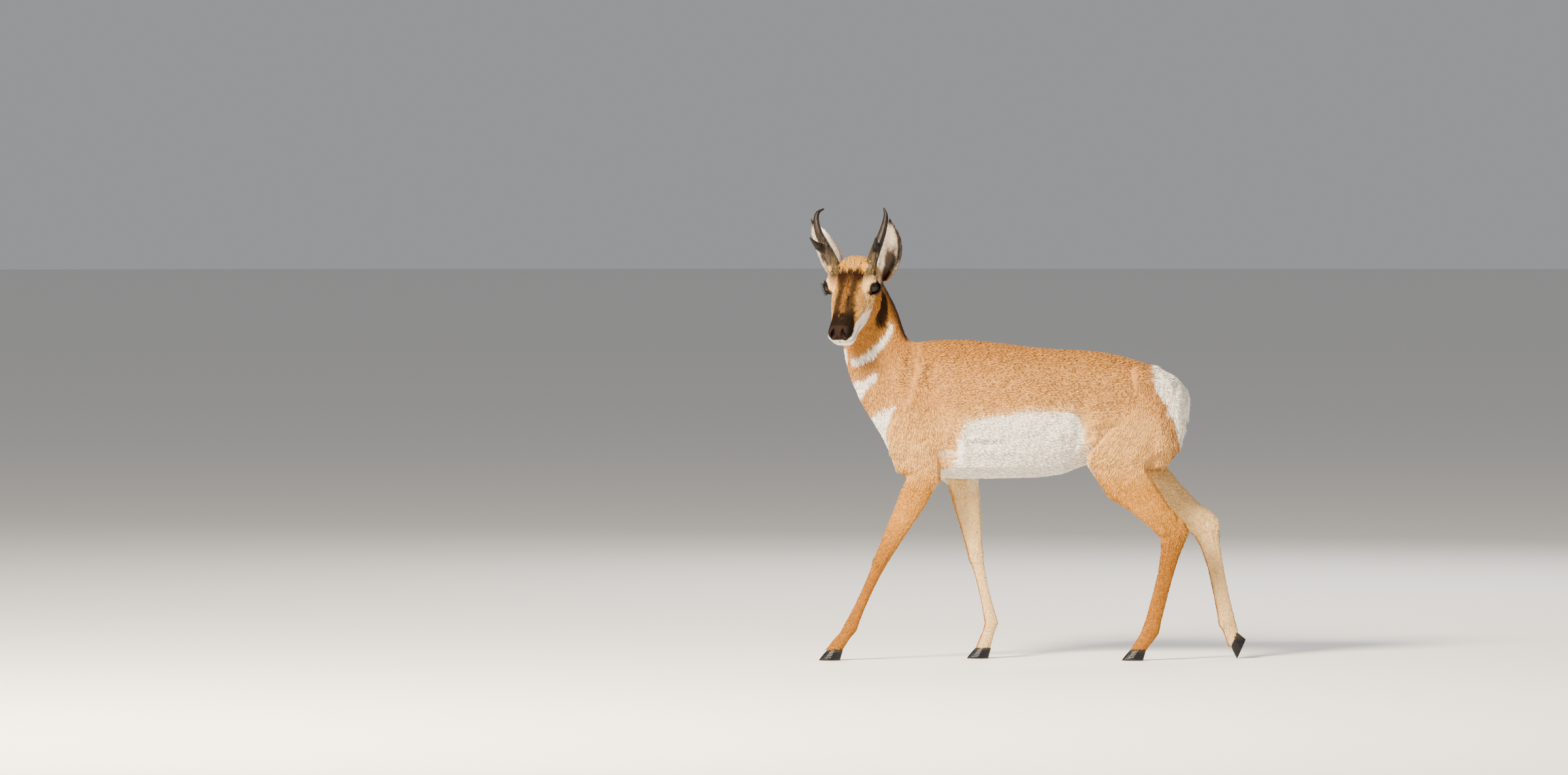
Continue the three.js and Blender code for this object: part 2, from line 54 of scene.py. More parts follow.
# The animal was measured from side view in millimetres: nose to -X, its left side to -Y, floor at 0.
# Everything below is given in those measures, and this places them in the frame of the solids.
# The head has a frame of its own, set between the eyes: nose to -X, left to -Y, crown to +Z.
measured = {"headAt": (-495, -98, 1035), "yaw": 69.4, "pitch": 46.9}
eyeBall = {
    "at": (-4, 60, 1), "radius": 20, "looks": (-0.62, 0.75, 0.24), "long": 17.0, "tall": 13.6,
    "lidReach": 30, "lidRise": 21.6,
}


def headAxes():
    yaw = math.radians(measured["yaw"])
    pitch = math.radians(measured["pitch"])
    nose = np.array([-math.cos(yaw) * math.cos(pitch), -math.sin(yaw) * math.cos(pitch), -math.sin(pitch)])
    left = np.array([math.sin(yaw), -math.cos(yaw), 0.0])
    return np.array([-nose, -left, np.cross(nose, left)])


headFrame = headAxes()


def toHead(points):
    return (np.asarray(points, float) - np.array(measured["headAt"])) @ headFrame.T


def fromHead(points):
    return np.asarray(points, float) @ headFrame + np.array(measured["headAt"])


def boxMiddle(node):
    low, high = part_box(node)
    return np.array(low + high) / 2


betweenEyes = fromHead((eyeBall["at"][0], 0, eyeBall["at"][2]))
shift = (boxMiddle("eye_left") + boxMiddle("eye_right")) / 2 - betweenEyes / 1000


def toFrame(points):
    return np.asarray(points, float) / 1000 + shift


def toMeasured(points):
    return (np.asarray(points, float) - shift) * 1000


# Where a point is on an eye's own axes, in the head's frame: along the opening, up it, and out.
def eyeAxes(sign):
    look = np.array(eyeBall["looks"]) * (1, sign, 1)
    look /= np.linalg.norm(look)
    along = np.array((1, 0, 0.22)) - look * (np.array((1, 0, 0.22)) @ look)
    along /= np.linalg.norm(along)
    up = np.cross(along, look) * -sign
    return look, along, up


def eyePlace(headPoints, sign):
    look, along, up = eyeAxes(sign)
    out = headPoints - np.array(eyeBall["at"]) * (1, sign, 1)
    u, v, w = out @ along, out @ up, out @ look
    tall = eyeBall["tall"] * (1 - 0.3 * np.clip(np.abs(u) / eyeBall["long"], 0, 1) ** 2)
    return u, v, w, np.hypot(u / eyeBall["long"], v / tall)


def linear(hexColour):
    channels = [int(hexColour[i:i + 2], 16) / 255 for i in (1, 3, 5)]
    return tuple(c / 12.92 if c <= 0.04045 else ((c + 0.055) / 1.055) ** 2.4 for c in channels)


def smoothStep(low, high, value):
    t = np.clip((value - low) / (high - low), 0, 1)
    return t * t * (3 - 2 * t)


# Smooth random numbers over space: a lattice of seeded values, blended between its points.
latticeValues = np.random.default_rng(11).random((32, 32, 32))


def softNoise(points, size):
    p = np.asarray(points) / size
    base = np.floor(p).astype(int)
    t = p - base
    t = t * t * (3 - 2 * t)
    total = 0
    for dx in (0, 1):
        for dy in (0, 1):
            for dz in (0, 1):
                weight = (t[:, 0] if dx else 1 - t[:, 0]) * (t[:, 1] if dy else 1 - t[:, 1])
                weight = weight * (t[:, 2] if dz else 1 - t[:, 2])
                cell = ((base[:, 0] + dx) % 32, (base[:, 1] + dy) % 32, (base[:, 2] + dz) % 32)
                total = total + weight * latticeValues[cell]
    return total


# Camera and floor

cameraSetup = {"lens": 250, "distance": 30.0, "height": 1.62, "aim": (-684, 0, 751)}


def makeCamera():
    aim = Vector(toFrame(cameraSetup["aim"]))
    data = bpy.data.cameras.new("longLens")
    data.lens = cameraSetup["lens"]
    data.sensor_width = 36
    data.clip_end = 200
    camera = bpy.data.objects.new("longLens", data)
    bpy.context.collection.objects.link(camera)
    camera.location = Vector((aim.x, -cameraSetup["distance"], cameraSetup["height"]))
    camera.rotation_euler = (aim - camera.location).to_track_quat("-Z", "Y").to_euler()
    bpy.context.scene.camera = camera


floorSetup = {"radius": 60.0, "colour": "#E9E6E1"}


def makeFloor():
    bm = bmesh.new()
    bmesh.ops.create_circle(bm, cap_ends=True, segments=64, radius=floorSetup["radius"])
    mesh = bpy.data.meshes.new("studioFloor")
    bm.to_mesh(mesh)
    bm.free()
    floor = bpy.data.objects.new("studioFloor", mesh)
    bpy.context.collection.objects.link(floor)
    material = bpy.data.materials.new("paleFloor")
    material.use_nodes = True
    shader = material.node_tree.nodes["Principled BSDF"]
    shader.inputs["Base Color"].default_value = (*linear(floorSetup["colour"]), 1)
    shader.inputs["Roughness"].default_value = 0.9
    mesh.materials.append(material)


lamps = {
    "key": {"at": (-3.6, -4.6, 4.6), "aim": (0, 0, 0.7), "size": 1.7, "power": 2450, "colour": "#FFEFD8"},
    "fill": {"at": (4.5, -5.0, 2.2), "aim": (0, 0, 0.6), "size": 4.0, "power": 80, "colour": "#FFF6EA"},
    "rim": {"at": (1.5, 5.0, 4.2), "aim": (0, 0, 0.7), "size": 3.5, "power": 330, "colour": "#FFFFFF"},
}


def makeLights():
    for name, lamp in lamps.items():
        data = bpy.data.lights.new(name, "AREA")
        data.size = lamp["size"]
        data.energy = lamp["power"]
        data.color = linear(lamp["colour"])
        light = bpy.data.objects.new(name, data)
        bpy.context.collection.objects.link(light)
        light.location = lamp["at"]
        light.rotation_euler = (Vector(lamp["aim"]) - light.location).to_track_quat("-Z", "Y").to_euler()
    world = bpy.data.worlds.new("softRoom")
    world.use_nodes = True
    world.node_tree.nodes["Background"].inputs["Color"].default_value = (*linear("#E6E8EC"), 1)
    world.node_tree.nodes["Background"].inputs["Strength"].default_value = 0.42
    bpy.context.scene.world = world


makeCamera()
makeFloor()
makeLights()
report("camera, floor and lights")


# Lengths of the body that the coat follows. Each runs the way the hair lies, with the body's own
# radius round it, the hair's length and width, and how many tufts stand on a square centimetre.
lengths = {
    "back": {"from": (-300, 0, 760), "to": (330, 0, 730), "radius": 120, "hair": 15, "width": 2.5, "count": 8},
    "belly": {"from": (-240, 0, 590), "to": (200, 0, 600), "radius": 95, "hair": 19, "width": 2.8, "count": 7},
    "chest": {"from": (-440, -4, 760), "to": (-330, 0, 560), "radius": 95, "hair": 16, "width": 2.5, "count": 8},
    "neck": {"from": (-470, -24, 980), "to": (-400, 0, 800), "radius": 75, "hair": 15, "width": 2.4, "count": 8.5},
    "rump": {"from": (330, 0, 760), "to": (400, 0, 620), "radius": 75, "hair": 21, "width": 2.7, "count": 7.5},
}


def addLeg(name, points, radii, hairs, widths, counts):
    for i, (radius, hair, width, count) in enumerate(zip(radii, hairs, widths, counts)):
        lengths[f"{name}{i}"] = {
            "from": points[i], "to": points[i + 1], "radius": radius,
            "hair": hair, "width": width, "count": count,
        }


legRun = {
    "radii": (60, 34, 16, 16), "hairs": (16, 10, 7, 7),
    "widths": (2.6, 2.1, 1.7, 1.6), "counts": (7.5, 9.5, 14, 15),
}
legPoints = {
    "foreLeft": [(-325, -78, 700), (-298, -76, 505), (-417, -64, 276), (-501, -54, 92), (-541, -52, 30)],
    "foreRight": [(-270, 78, 700), (-190, 76, 500), (-152, 64, 278), (-111, 54, 100), (-131, 52, 30)],
    "hindLeft": [(330, -84, 720), (236, -88, 548), (388, -70, 346), (326, -60, 84), (297, -58, 30)],
    "hindRight": [(340, 84, 720), (294, 88, 536), (482, 70, 356), (540, 60, 100), (560, 58, 54)],
}
for legName, points in legPoints.items():
    addLeg(legName, points, *legRun.values())
headLine = {"nose": (-176, 0, -24), "poll": (78, 0, -18), "brow": (0, 0, 26), "nape": (92, 0, 12)}
earPoints = {
    "Left": {"root": (56, -62, -42), "tip": (-393, -58, 1214), "faces": (-0.12, -1, 0.05)},
    "Right": {"root": (56, 62, -42), "tip": (-607, -8, 1212), "faces": (-0.5, -0.86, 0.05)},
}
lengths["head"] = {
    "from": fromHead(headLine["nose"]), "to": fromHead(headLine["poll"]),
    "radius": 44, "hair": 6.5, "width": 1.3, "count": 20,
}
lengths["crown"] = {
    "from": fromHead(headLine["brow"]), "to": fromHead(headLine["nape"]),
    "radius": 22, "hair": 17, "width": 1.25, "count": 24,
}
for side, ear in earPoints.items():
    lengths["ear" + side] = {
        "from": fromHead(ear["root"]), "to": ear["tip"],
        "radius": 14, "hair": 8, "width": 1.3, "count": 15,
    }
lengths["tail"] = {"from": (370, 0, 766), "to": (432, 0, 665), "radius": 14, "hair": 26, "width": 2.4, "count": 9}
lengthNames = list(lengths)


# How far each point is from the surface of every length, and where it stands along it.
def lengthFit(points):
    gaps = np.empty((len(lengths), len(points)))
    along = np.empty_like(gaps)
    for i, piece in enumerate(lengths.values()):
        start = np.array(piece["from"], float)
        run = np.array(piece["to"], float) - start
        t = np.clip((points - start) @ run / (run @ run), 0, 1)
        away = np.linalg.norm(points - start - t[:, None] * run, axis=1)
        gaps[i] = np.maximum(away - piece["radius"], 3.0)
        along[i] = t
    return gaps, along


def blendOver(gaps, pick, power=3):
    weights = 1 / gaps ** power
    values = np.array([pick(piece) for piece in lengths.values()], float)
    if values.ndim == 1:
        return (weights * values[:, None]).sum(0) / weights.sum(0)
    return np.einsum("ln,lc->nc", weights, values) / weights.sum(0)[:, None]


def hairRun(piece):
    run = np.array(piece["to"], float) - np.array(piece["from"], float)
    return run / np.linalg.norm(run)


# Markings, as outlines in side view, in millimetres [x, z]
markings = {
    "belly": [(-240, 430), (-226, 545), (-208, 610), (-194, 656), (-120, 676), (-52, 686), (110, 690),
              (128, 655), (137, 600), (122, 562), (150, 540), (150, 430)],
    "rump": [(316, 840), (332, 765), (366, 706), (392, 648), (402, 618), (412, 580), (520, 560), (520, 840)],
    "chest": [(-376, 712), (-398, 664), (-404, 616), (-388, 566), (-362, 526), (-440, 500),
              (-500, 640), (-426, 690)],
    "throatLow": [(-540, 775), (-484, 772), (-424, 806), (-432, 780), (-462, 750), (-484, 706), (-530, 690)],
    "throatHigh": [(-500, 838), (-484, 838), (-452, 858), (-412, 896), (-394, 938), (-382, 926), (-398, 886),
                   (-440, 838), (-484, 816), (-502, 822)],
    "throatTop": [(-560, 866), (-516, 866), (-508, 846), (-512, 822), (-560, 822)],
}
hairColours = {
    "tan": "#BC8648", "back": "#A56D2C", "side": "#D9A763", "white": "#F8F1E4", "cream": "#E8C48A",
    "orange": "#C28430", "nape": "#4B3020", "mask": "#0C0604", "stripe": "#6E4A20", "crown": "#D4973C",
    "cheek": "#AE7E3C", "jaw": "#EFE6DA", "black": "#16100D", "earIn": "#C4B6A2", "earDark": "#241813",
    "fringe": "#8E5F38", "nosePad": "#231712", "shank": "#8C5418", "maskBrown": "#2C160B",
    "grizzle": "#7C5A38",
}
tone = {name: np.array(linear(value)) for name, value in hairColours.items()}


# How deep a point is inside an outline in side view: positive inside, negative outside.
def insideOutline(x, z, outline):
    corners = np.array(outline, float)
    nearest = np.full(len(x), 1e9)
    inside = np.zeros(len(x), bool)
    for a, b in zip(corners, np.roll(corners, -1, axis=0)):
        run = b - a
        t = np.clip(((x - a[0]) * run[0] + (z - a[1]) * run[1]) / (run @ run), 0, 1)
        nearest = np.minimum(nearest, np.hypot(x - a[0] - t * run[0], z - a[1] - t * run[1]))
        crosses = (a[1] > z) != (b[1] > z)
        with np.errstate(divide="ignore", invalid="ignore"):
            inside ^= crosses & (x < a[0] + (z - a[1]) * run[0] / (run[1] or 1e-9))
    return np.where(inside, nearest, -nearest)


def mix(base, colour, amount):
    return base + (np.asarray(colour) - base) * np.clip(amount, 0, 1)[:, None]


faceLine = {
    "x": (-185, -170, -150, -120, -85, -50, -20, 12, 45, 74, 93),
    "top": (-8, 3, 9, 13, 18, 25, 34, 43, 45, 33, 12),
}
maskEdge = {
    "x": (-185, -150, -125, -105, -85, -60, -35, -12, 4),
    "wide": (60, 48, 40, 34, 29, 25, 24, 29, 38),
}
lipLine = {"x": (-185, -168, -150, -123, -84, -50, -20), "deep": (18, 24, 27, 30, 43, 62, 82)}


# The face from the nose up: white lips, black muzzle, a warm stripe between two dark lines that
# run up to a dark band over the eyes, grizzled cheeks, and the buff crown.
def faceColour(points, normals, wobble):
    h = toHead(points)
    x, across, z = h[:, 0], np.abs(h[:, 1]), h[:, 2]
    deep = np.interp(x, faceLine["x"], faceLine["top"]) - z
    streak = softNoise(h * (0.45, 1.4, 1.4) + 500, 5) - 0.5
    fleck = softNoise(h * (0.6, 1.5, 1.5) + 900, 3.2) - 0.5
    colour = np.tile(tone["cheek"], (len(points), 1))
    colour = mix(colour, tone["cream"], 0.75 * smoothStep(16, 60, deep) * smoothStep(-130, -80, x))
    grizzled = smoothStep(-0.02, 0.26, fleck + 0.25 * streak) * 0.8 * smoothStep(-130, -90, x)
    colour = mix(colour, tone["grizzle"], grizzled)
    colour = mix(colour, tone["tan"], 0.7 * smoothStep(-10, 30, x) * smoothStep(80, 30, deep))
    girth = across + 0.55 * np.maximum(deep - 8, 0) + 9 * wobble + 8 * streak
    pastMask = girth - np.interp(x, maskEdge["x"], maskEdge["wide"])
    mask = smoothStep(5, -4, pastMask) * smoothStep(12, 0, x)
    colour = mix(colour, tone["maskBrown"], smoothStep(13, 2, pastMask) * 0.55)
    colour = mix(colour, tone["mask"], mask * (0.82 + 0.16 * smoothStep(-85, -125, x)))
    stripe = smoothStep(13, 6, across + 6 * wobble + 8 * streak)
    stripe = stripe * smoothStep(-122 + 60 * streak, -82 + 60 * streak, x) * smoothStep(2, -14, x)
    colour = mix(colour, tone["stripe"], stripe * 0.92)
    colour = mix(colour, tone["mask"], stripe * smoothStep(0.05, 0.3, fleck) * 0.75)
    parting = np.exp(-((h[:, 1] + 9) / 3.2) ** 2) * smoothStep(-112, -88, x) * smoothStep(-48, -66, x)
    colour = mix(colour, tone["black"], parting * 0.9)
    band = smoothStep(18, 9, x + 10 * streak) * smoothStep(-34, -10, x + 20 * streak - 0.25 * across)
    band = band * smoothStep(46, 24, deep) * (0.72 + 0.28 * smoothStep(4, 14, across))
    colour = mix(colour, tone["maskBrown"], band * 0.93)
    crown = smoothStep(8, 20, x + 5 * wobble + 8 * streak) * smoothStep(52, 30, deep)
    colour = mix(colour, tone["crown"], crown)
    colour = mix(colour, tone["cream"], crown * smoothStep(0.0, 0.35, streak) * 0.6)
    # lips, chin and lower jaw are white, and so is the front of the cheek
    lip = deep - np.interp(x, lipLine["x"], lipLine["deep"]) + 7 * wobble + 5 * streak
    colour = mix(colour, tone["jaw"], smoothStep(-4, 4, lip) * smoothStep(-18, -50, x))
    underJaw = smoothStep(-4, 14, lip) * smoothStep(-70, -30, x) * smoothStep(60, 92, deep) * 0.8
    colour = mix(colour, tone["tan"], underJaw)
    # painted shade: the mouth's crease is coloured black
    crease = np.exp(-((z - mouthHeight(x)) / 2.0) ** 2) * smoothStep(-100, -112, x)
    colour = mix(colour, tone["black"], crease * 0.95)
    # painted shade: the groove under the nose is coloured black
    grooveShade = smoothStep(3.4, 1.2, across + 0.10 * np.abs(z + 40)) * (x < -150)
    grooveShade = grooveShade * smoothStep(-41, -37, z) * (z < -16)
    colour = mix(colour, tone["black"], grooveShade)
    for sign in (-1, 1):
        near = h[:, 1] * sign > 38
        u, v, w, almond = eyePlace(h, sign)
        pale = smoothStep(2.9, 1.9, np.hypot(u / 16, v / 13) + 0.3 * wobble) * smoothStep(4, -4, v) * near
        colour = mix(colour, tone["cream"], pale * 0.75)
        dark = smoothStep(1.62, 1.3, almond + 0.25 * wobble - 0.12 * smoothStep(0, 8, v)) * near * (w > 0)
        colour = mix(colour, tone["black"], dark)
        tear = smoothStep(9, 3, np.hypot((u + 17) / 1.6, (v + 7) / 1.1)) * near * (w > 0)
        colour = mix(colour, tone["maskBrown"], tear * 0.8)
    behind = smoothStep(66, 86, x + 6 * wobble)
    colour = mix(colour, tone["nape"], behind * smoothStep(60, 30, deep))
    nose = smoothStep(-150, -158, x) * smoothStep(-23, -18, z)
    nose = nose * smoothStep(31, 25, across + 0.3 * np.abs(z + 4))
    colour = mix(colour, tone["nosePad"], nose)
    # painted shade: the inside of each nostril is coloured black, darker than the nose pad
    nostrilShade = np.hypot((across - 17) / 8, (z + 6 + 0.6 * (across - 17)) / 9)
    return mix(colour, tone["mask"], smoothStep(1.15, 0.8, nostrilShade) * (x < -150))


# The mouth runs back and up from the front of the lips.
def mouthHeight(x):
    return -38 - 0.10 * (x + 176) + 3.0 * smoothStep(-130, -100, x)


def earShare(points, side):
    ear = earPoints[side]
    root = np.array(fromHead(ear["root"]))
    run = np.array(ear["tip"]) - root
    t = (points - root) @ run / (run @ run)
    facing = np.array(ear["faces"]) / np.linalg.norm(ear["faces"])
    sideways = np.cross(run / np.linalg.norm(run), facing)
    return t, (points - root - t[:, None] * run) @ sideways, facing


def coatColour(points, normals):
    x, y, z = points.T
    wobble = softNoise(points, 16) + 0.6 * softNoise(points + 300, 6) - 0.8
    broad = softNoise(points + 700, 90) - 0.5
    gaps, along = lengthFit(points)
    near = gaps.argmin(0)
    isLeg = np.array([n[:4] in ("fore", "hind") and n[-1] in "123" for n in lengthNames])[near]
    isHead = np.isin(near, [lengthNames.index("head"), lengthNames.index("crown")])
    colour = np.tile(tone["tan"], (len(points), 1))
    colour = mix(colour, tone["back"], 0.75 * smoothStep(770, 870, z + 40 * broad))
    colour = mix(colour, tone["side"], 0.8 * smoothStep(740, 620, z + 60 * broad))
    # legs: tan in front and outside, cream behind and inside
    inner = np.clip(-np.sign(y) * normals[:, 1], -1, 1)
    cream = smoothStep(-0.1, 0.7, inner + 0.35 * normals[:, 0] + 0.3 * wobble)
    colour = mix(colour, tone["orange"], smoothStep(560, 470, z) * 0.9)
    colour = mix(colour, tone["shank"], smoothStep(430, 260, z + 40 * broad) * 0.7)
    colour = mix(colour, tone["cream"], cream * smoothStep(560, 480, z) * 0.95)
    # white belly, chest, rump and throat
    soft = 9 * wobble
    # the right foreleg stands further back, so the belly's white begins further back on that side
    further = 54 * smoothStep(-20, 40, y) * smoothStep(-60, -150, x)
    bellyDeep = insideOutline(x - further, z, markings["belly"]) + soft
    bellyDeep = bellyDeep - 30 * smoothStep(532, 500, z) * smoothStep(0.4, -0.1, inner)
    colour = mix(colour, tone["cream"], smoothStep(-26, 4, bellyDeep) * 0.5)
    white = smoothStep(-4, 5, bellyDeep) * smoothStep(450, 545, z + 40 * wobble)
    underneath = smoothStep(-0.35, -0.8, normals[:, 2]) * (z > 480) * (z < 600)
    underneath = underneath * smoothStep(-330, -290, x) * smoothStep(180, 150, x)
    white = np.maximum(white, underneath)
    front = smoothStep(-4, 5, insideOutline(x, z, markings["chest"]) + soft)
    white = np.maximum(white, front * np.maximum(smoothStep(590, 640, z), smoothStep(78, 56, np.abs(y))))
    rumpDeep = insideOutline(x, z, markings["rump"])
    colour = mix(colour, tone["fringe"], smoothStep(-46, -12, rumpDeep + soft) * 0.55 * (z > 560))
    white = np.maximum(white, smoothStep(-4, 6, rumpDeep + soft) * (z > 560))
    onNeck = z > 690
    for band in ("throatLow", "throatHigh", "throatTop"):
        inBand = insideOutline(x, z, markings[band]) + 5 * wobble
        white = np.maximum(white, smoothStep(-3, 4, inBand) * onNeck)
    colour = mix(colour, tone["white"], white)
    # the dark mane down the nape
    napeX = np.interp(z, (880, 923, 957, 982, 1025, 1068), (-338, -355, -366, -377, -400, -424))
    nape = smoothStep(44, 16, napeX - x + 0.5 * np.abs(y + 10) + 6 * wobble)
    nape = nape * smoothStep(872, 900, z) * (x > -480)
    colour = mix(colour, tone["nape"], nape)
    face = faceColour(points, normals, wobble)
    colour = np.where(isHead[:, None], face, colour)
    # the black patch under the ear, on the cheek and the neck behind it: partly the buck's own black patch, partly
    # painted shade behind the jaw
    h = toHead(points)
    down = ((h[:, 0] + 5) * -0.83 + (h[:, 2] + 85) * -0.56) / 56
    out = ((h[:, 0] + 5) * 0.56 + (h[:, 2] + 85) * -0.83) / np.where(isHead, 9, 13)
    patch = smoothStep(1.15, 0.8, np.hypot(down, out) + 0.2 * wobble)
    patch = patch * smoothStep(20, 30, np.abs(h[:, 1])) * (np.abs(h[:, 1]) < 92)
    patch = patch * (isHead | (near == lengthNames.index("neck")))
    colour = mix(colour, tone["black"], patch * 0.95)
    for side in earPoints:
        t, across, facing = earShare(points, side)
        inside = smoothStep(-0.1, 0.35, normals @ facing)
        width = np.interp(t, (0, 0.14, 0.28, 0.43, 0.57, 0.71, 0.86, 1), (12, 25, 32, 33.5, 32, 27, 16, 3))
        lateral = across / width * (1 if side == "Left" else -1)
        ear = np.tile(tone["tan"], (len(points), 1))
        ear = mix(ear, tone["fringe"], smoothStep(0.3, 0.9, lateral) * 0.6)
        ear = mix(ear, tone["earIn"], inside * smoothStep(0.06, 0.22, t))
        ear = mix(ear, tone["white"], inside * smoothStep(-0.2, -0.7, lateral + 0.4 * wobble) * 0.7)
        # painted shade: the hollow of the ear's cup is coloured near black on its inner face
        hollow = smoothStep(0.62, 0.3, np.abs(lateral - 0.34) + 0.25 * wobble)
        hollow = hollow * smoothStep(0.66, 0.44, t + 0.1 * wobble)
        ear = mix(ear, tone["earDark"], inside * hollow * 0.95)
        rim = smoothStep(0.86, 1.02, np.abs(lateral) + 0.05 * wobble) * smoothStep(0.2, 0.4, t)
        ear = mix(ear, tone["earDark"], rim * np.where(lateral > 0, 0.85, 0.5))
        ear = mix(ear, tone["earDark"], smoothStep(0.84, 0.95, t))
        isEar = near == lengthNames.index("ear" + side)
        colour = np.where(isEar[:, None], ear, colour)
    grain = 1 + 0.22 * (softNoise(points + 90, 2.2) - 0.5) + 0.16 * broad
    return np.clip(colour * grain[:, None], 0, 1)


# Skin: a copy of the flesh solids made one surface, then drawn in by the depth of the coat

skinSetup = {
    "voxel": 0.003, "overlap": 0.0005, "bodyShare": 0.265, "bodyRounds": 46, "firstRounds": 6,
    "depth": {"back": 4.5, "belly": 5, "chest": 5, "neck": 5.5, "rump": 6, "crown": 3, "tail": 5},
    "legDepth": 1.6, "headDepth": 1.2,
}
fleshNodes = [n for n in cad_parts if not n.startswith(("eye_", "horn_")) and "hoof" not in n]
horns = {"Left": (34, -51, 31), "Right": (34, 51, 31)}


def nodeObject(name):
    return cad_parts[name]


def joinFlesh():
    joined = bmesh.new()
    for node in fleshNodes + ["eye_left", "eye_right"]:
        single = bmesh.new()
        single.from_mesh(nodeObject(node).data)
        bmesh.ops.remove_doubles(single, verts=single.verts, dist=1e-6)
        single.normal_update()
        for vert in single.verts:
            vert.co += vert.normal * skinSetup["overlap"]
        copy = bpy.data.meshes.new("fleshCopy")
        single.to_mesh(copy)
        single.free()
        joined.from_mesh(copy)
        bpy.data.meshes.remove(copy)
    for place in horns.values():  # the socket under each horn is filled
        made = bmesh.ops.create_uvsphere(joined, u_segments=16, v_segments=10, radius=0.019)
        bmesh.ops.translate(joined, verts=made["verts"], vec=Vector(toFrame(fromHead(place))))
    mesh = bpy.data.meshes.new("skin")
    joined.to_mesh(mesh)
    joined.free()
    skin = bpy.data.objects.new("skin", mesh)
    bpy.context.collection.objects.link(skin)
    return skin


def applyModifiers(thing):
    graph = bpy.context.evaluated_depsgraph_get()
    made = bpy.data.meshes.new_from_object(thing.evaluated_get(graph))
    thing.modifiers.clear()
    old = thing.data
    thing.data = made
    bpy.data.meshes.remove(old)


def coordinates(mesh):
    co = np.empty(len(mesh.vertices) * 3)
    mesh.vertices.foreach_get("co", co)
    return co.reshape(-1, 3)


def setCoordinates(mesh, co):
    mesh.vertices.foreach_set("co", np.ascontiguousarray(co).ravel())
    mesh.update()


def vertexNormals(mesh):
    normals = np.empty(len(mesh.vertices) * 3)
    mesh.vertices.foreach_get("normal", normals)
    return normals.reshape(-1, 3)


# Evens a surface out without shrinking it: a step in and a slightly longer step out, each round.
def evenOut(mesh, amount, rounds):
    co = coordinates(mesh)
    edges = np.empty(len(mesh.edges) * 2, np.int32)
    mesh.edges.foreach_get("vertices", edges)
    a, b = edges.reshape(-1, 2).T
    count = np.bincount(a, minlength=len(co)) + np.bincount(b, minlength=len(co))
    for _ in range(rounds):
        for step in (0.55, -0.57):
            total = np.empty_like(co)
            for axis in range(3):
                total[:, axis] = np.bincount(a, co[b, axis], len(co)) + np.bincount(b, co[a, axis], len(co))
            co += (total / count[:, None] - co) * (step * amount)[:, None]
    setCoordinates(mesh, co)


# Swellings and hollows, each given on the left and repeated on the right: middle, reach, push out.
bodyForms = [
    {"at": (-352, -98, 640), "reach": (60, 60, 90), "push": 5},
    {"at": (-250, -105, 700), "reach": (50, 60, 120), "push": -4},
    {"at": (-330, -100, 740), "reach": (70, 60, 120), "push": 2.5},
    {"at": (-232, -110, 560), "reach": (45, 50, 70), "push": -7},
    {"at": (140, -132, 650), "reach": (44, 60, 100), "push": -8},
    {"at": (114, -134, 596), "reach": (14, 60, 60), "push": -5},
    {"at": (166, -122, 600), "reach": (36, 60, 76), "push": 6},
    {"at": (-138, -130, 616), "reach": (80, 60, 11), "push": 4.5},
    {"at": (-150, -128, 598), "reach": (74, 60, 13), "push": -4.5},
    {"at": (-214, -122, 600), "reach": (16, 60, 90), "push": -5},
    {"at": (-300, -118, 590), "reach": (52, 60, 60), "push": 6},
    {"at": (20, -140, 700), "reach": (70, 50, 90), "push": 3},
    {"at": (250, -105, 745), "reach": (80, 70, 60), "push": 3},
    {"at": (205, -118, 590), "reach": (70, 50, 70), "push": 5},
    {"at": (380, -90, 640), "reach": (45, 60, 90), "push": 5},
    {"at": (330, -118, 560), "reach": (30, 45, 90), "push": -4},
]
kneesAndHocks = [
    {"at": (-438, -70, 278), "reach": (14, 22, 22), "push": 2.2},
    {"at": (-424, -84, 264), "reach": (12, 10, 14), "push": 1.6},
    {"at": (-399, -66, 290), "reach": (9, 16, 12), "push": 2.4},
    {"at": (-490, -64, 150), "reach": (7, 12, 80), "push": -1.6},
    {"at": (-168, 66, 280), "reach": (14, 22, 22), "push": 2.2},
    {"at": (-133, 66, 292), "reach": (9, 16, 12), "push": 2.4},
    {"at": (-120, 60, 170), "reach": (7, 12, 60), "push": -1.4},
    {"at": (402, -90, 410), "reach": (11, 24, 55), "push": -5},
    {"at": (360, -90, 352), "reach": (18, 14, 22), "push": 2.5},
    {"at": (366, -76, 240), "reach": (7, 16, 90), "push": -2.2},
    {"at": (504, 88, 420), "reach": (11, 24, 50), "push": -5},
    {"at": (458, 88, 362), "reach": (18, 14, 22), "push": 2.5},
    {"at": (518, 76, 240), "reach": (7, 16, 90), "push": -2.2},
]


def pushForms(points, normals, forms, mirrorAcross=False):
    moved = np.zeros(len(points))
    for form in forms:
        for sign in ((1, -1) if mirrorAcross else (1,)):
            middle = np.array(form["at"]) * (1, sign, 1)
            gap = (((points - middle) / form["reach"]) ** 2).sum(1)
            moved += form["push"] * np.clip(1 - gap, 0, 1) ** 2
    return points + normals * moved[:, None]


report("markings and forms")


def refineFace(mesh):
    bm = bmesh.new()
    bm.from_mesh(mesh)
    for reach, spots in refineSetup:
        middles = [np.array(s) for s in spots]
        co = toHead(toMeasured(np.array([v.co for v in bm.verts])))
        chosen = np.zeros(len(co), bool)
        for middle in middles:
            chosen |= ((co - middle) ** 2).sum(1) < reach ** 2
        bm.verts.ensure_lookup_table()
        edges = [e for e in bm.edges if chosen[e.verts[0].index] and chosen[e.verts[1].index]]
        bmesh.ops.subdivide_edges(bm, edges=edges, cuts=1, use_grid_fill=True, smooth=0.0)
        bm.verts.index_update()
    bmesh.ops.triangulate(bm, faces=[f for f in bm.faces if len(f.verts) > 4])
    bm.to_mesh(mesh)
    bm.free()


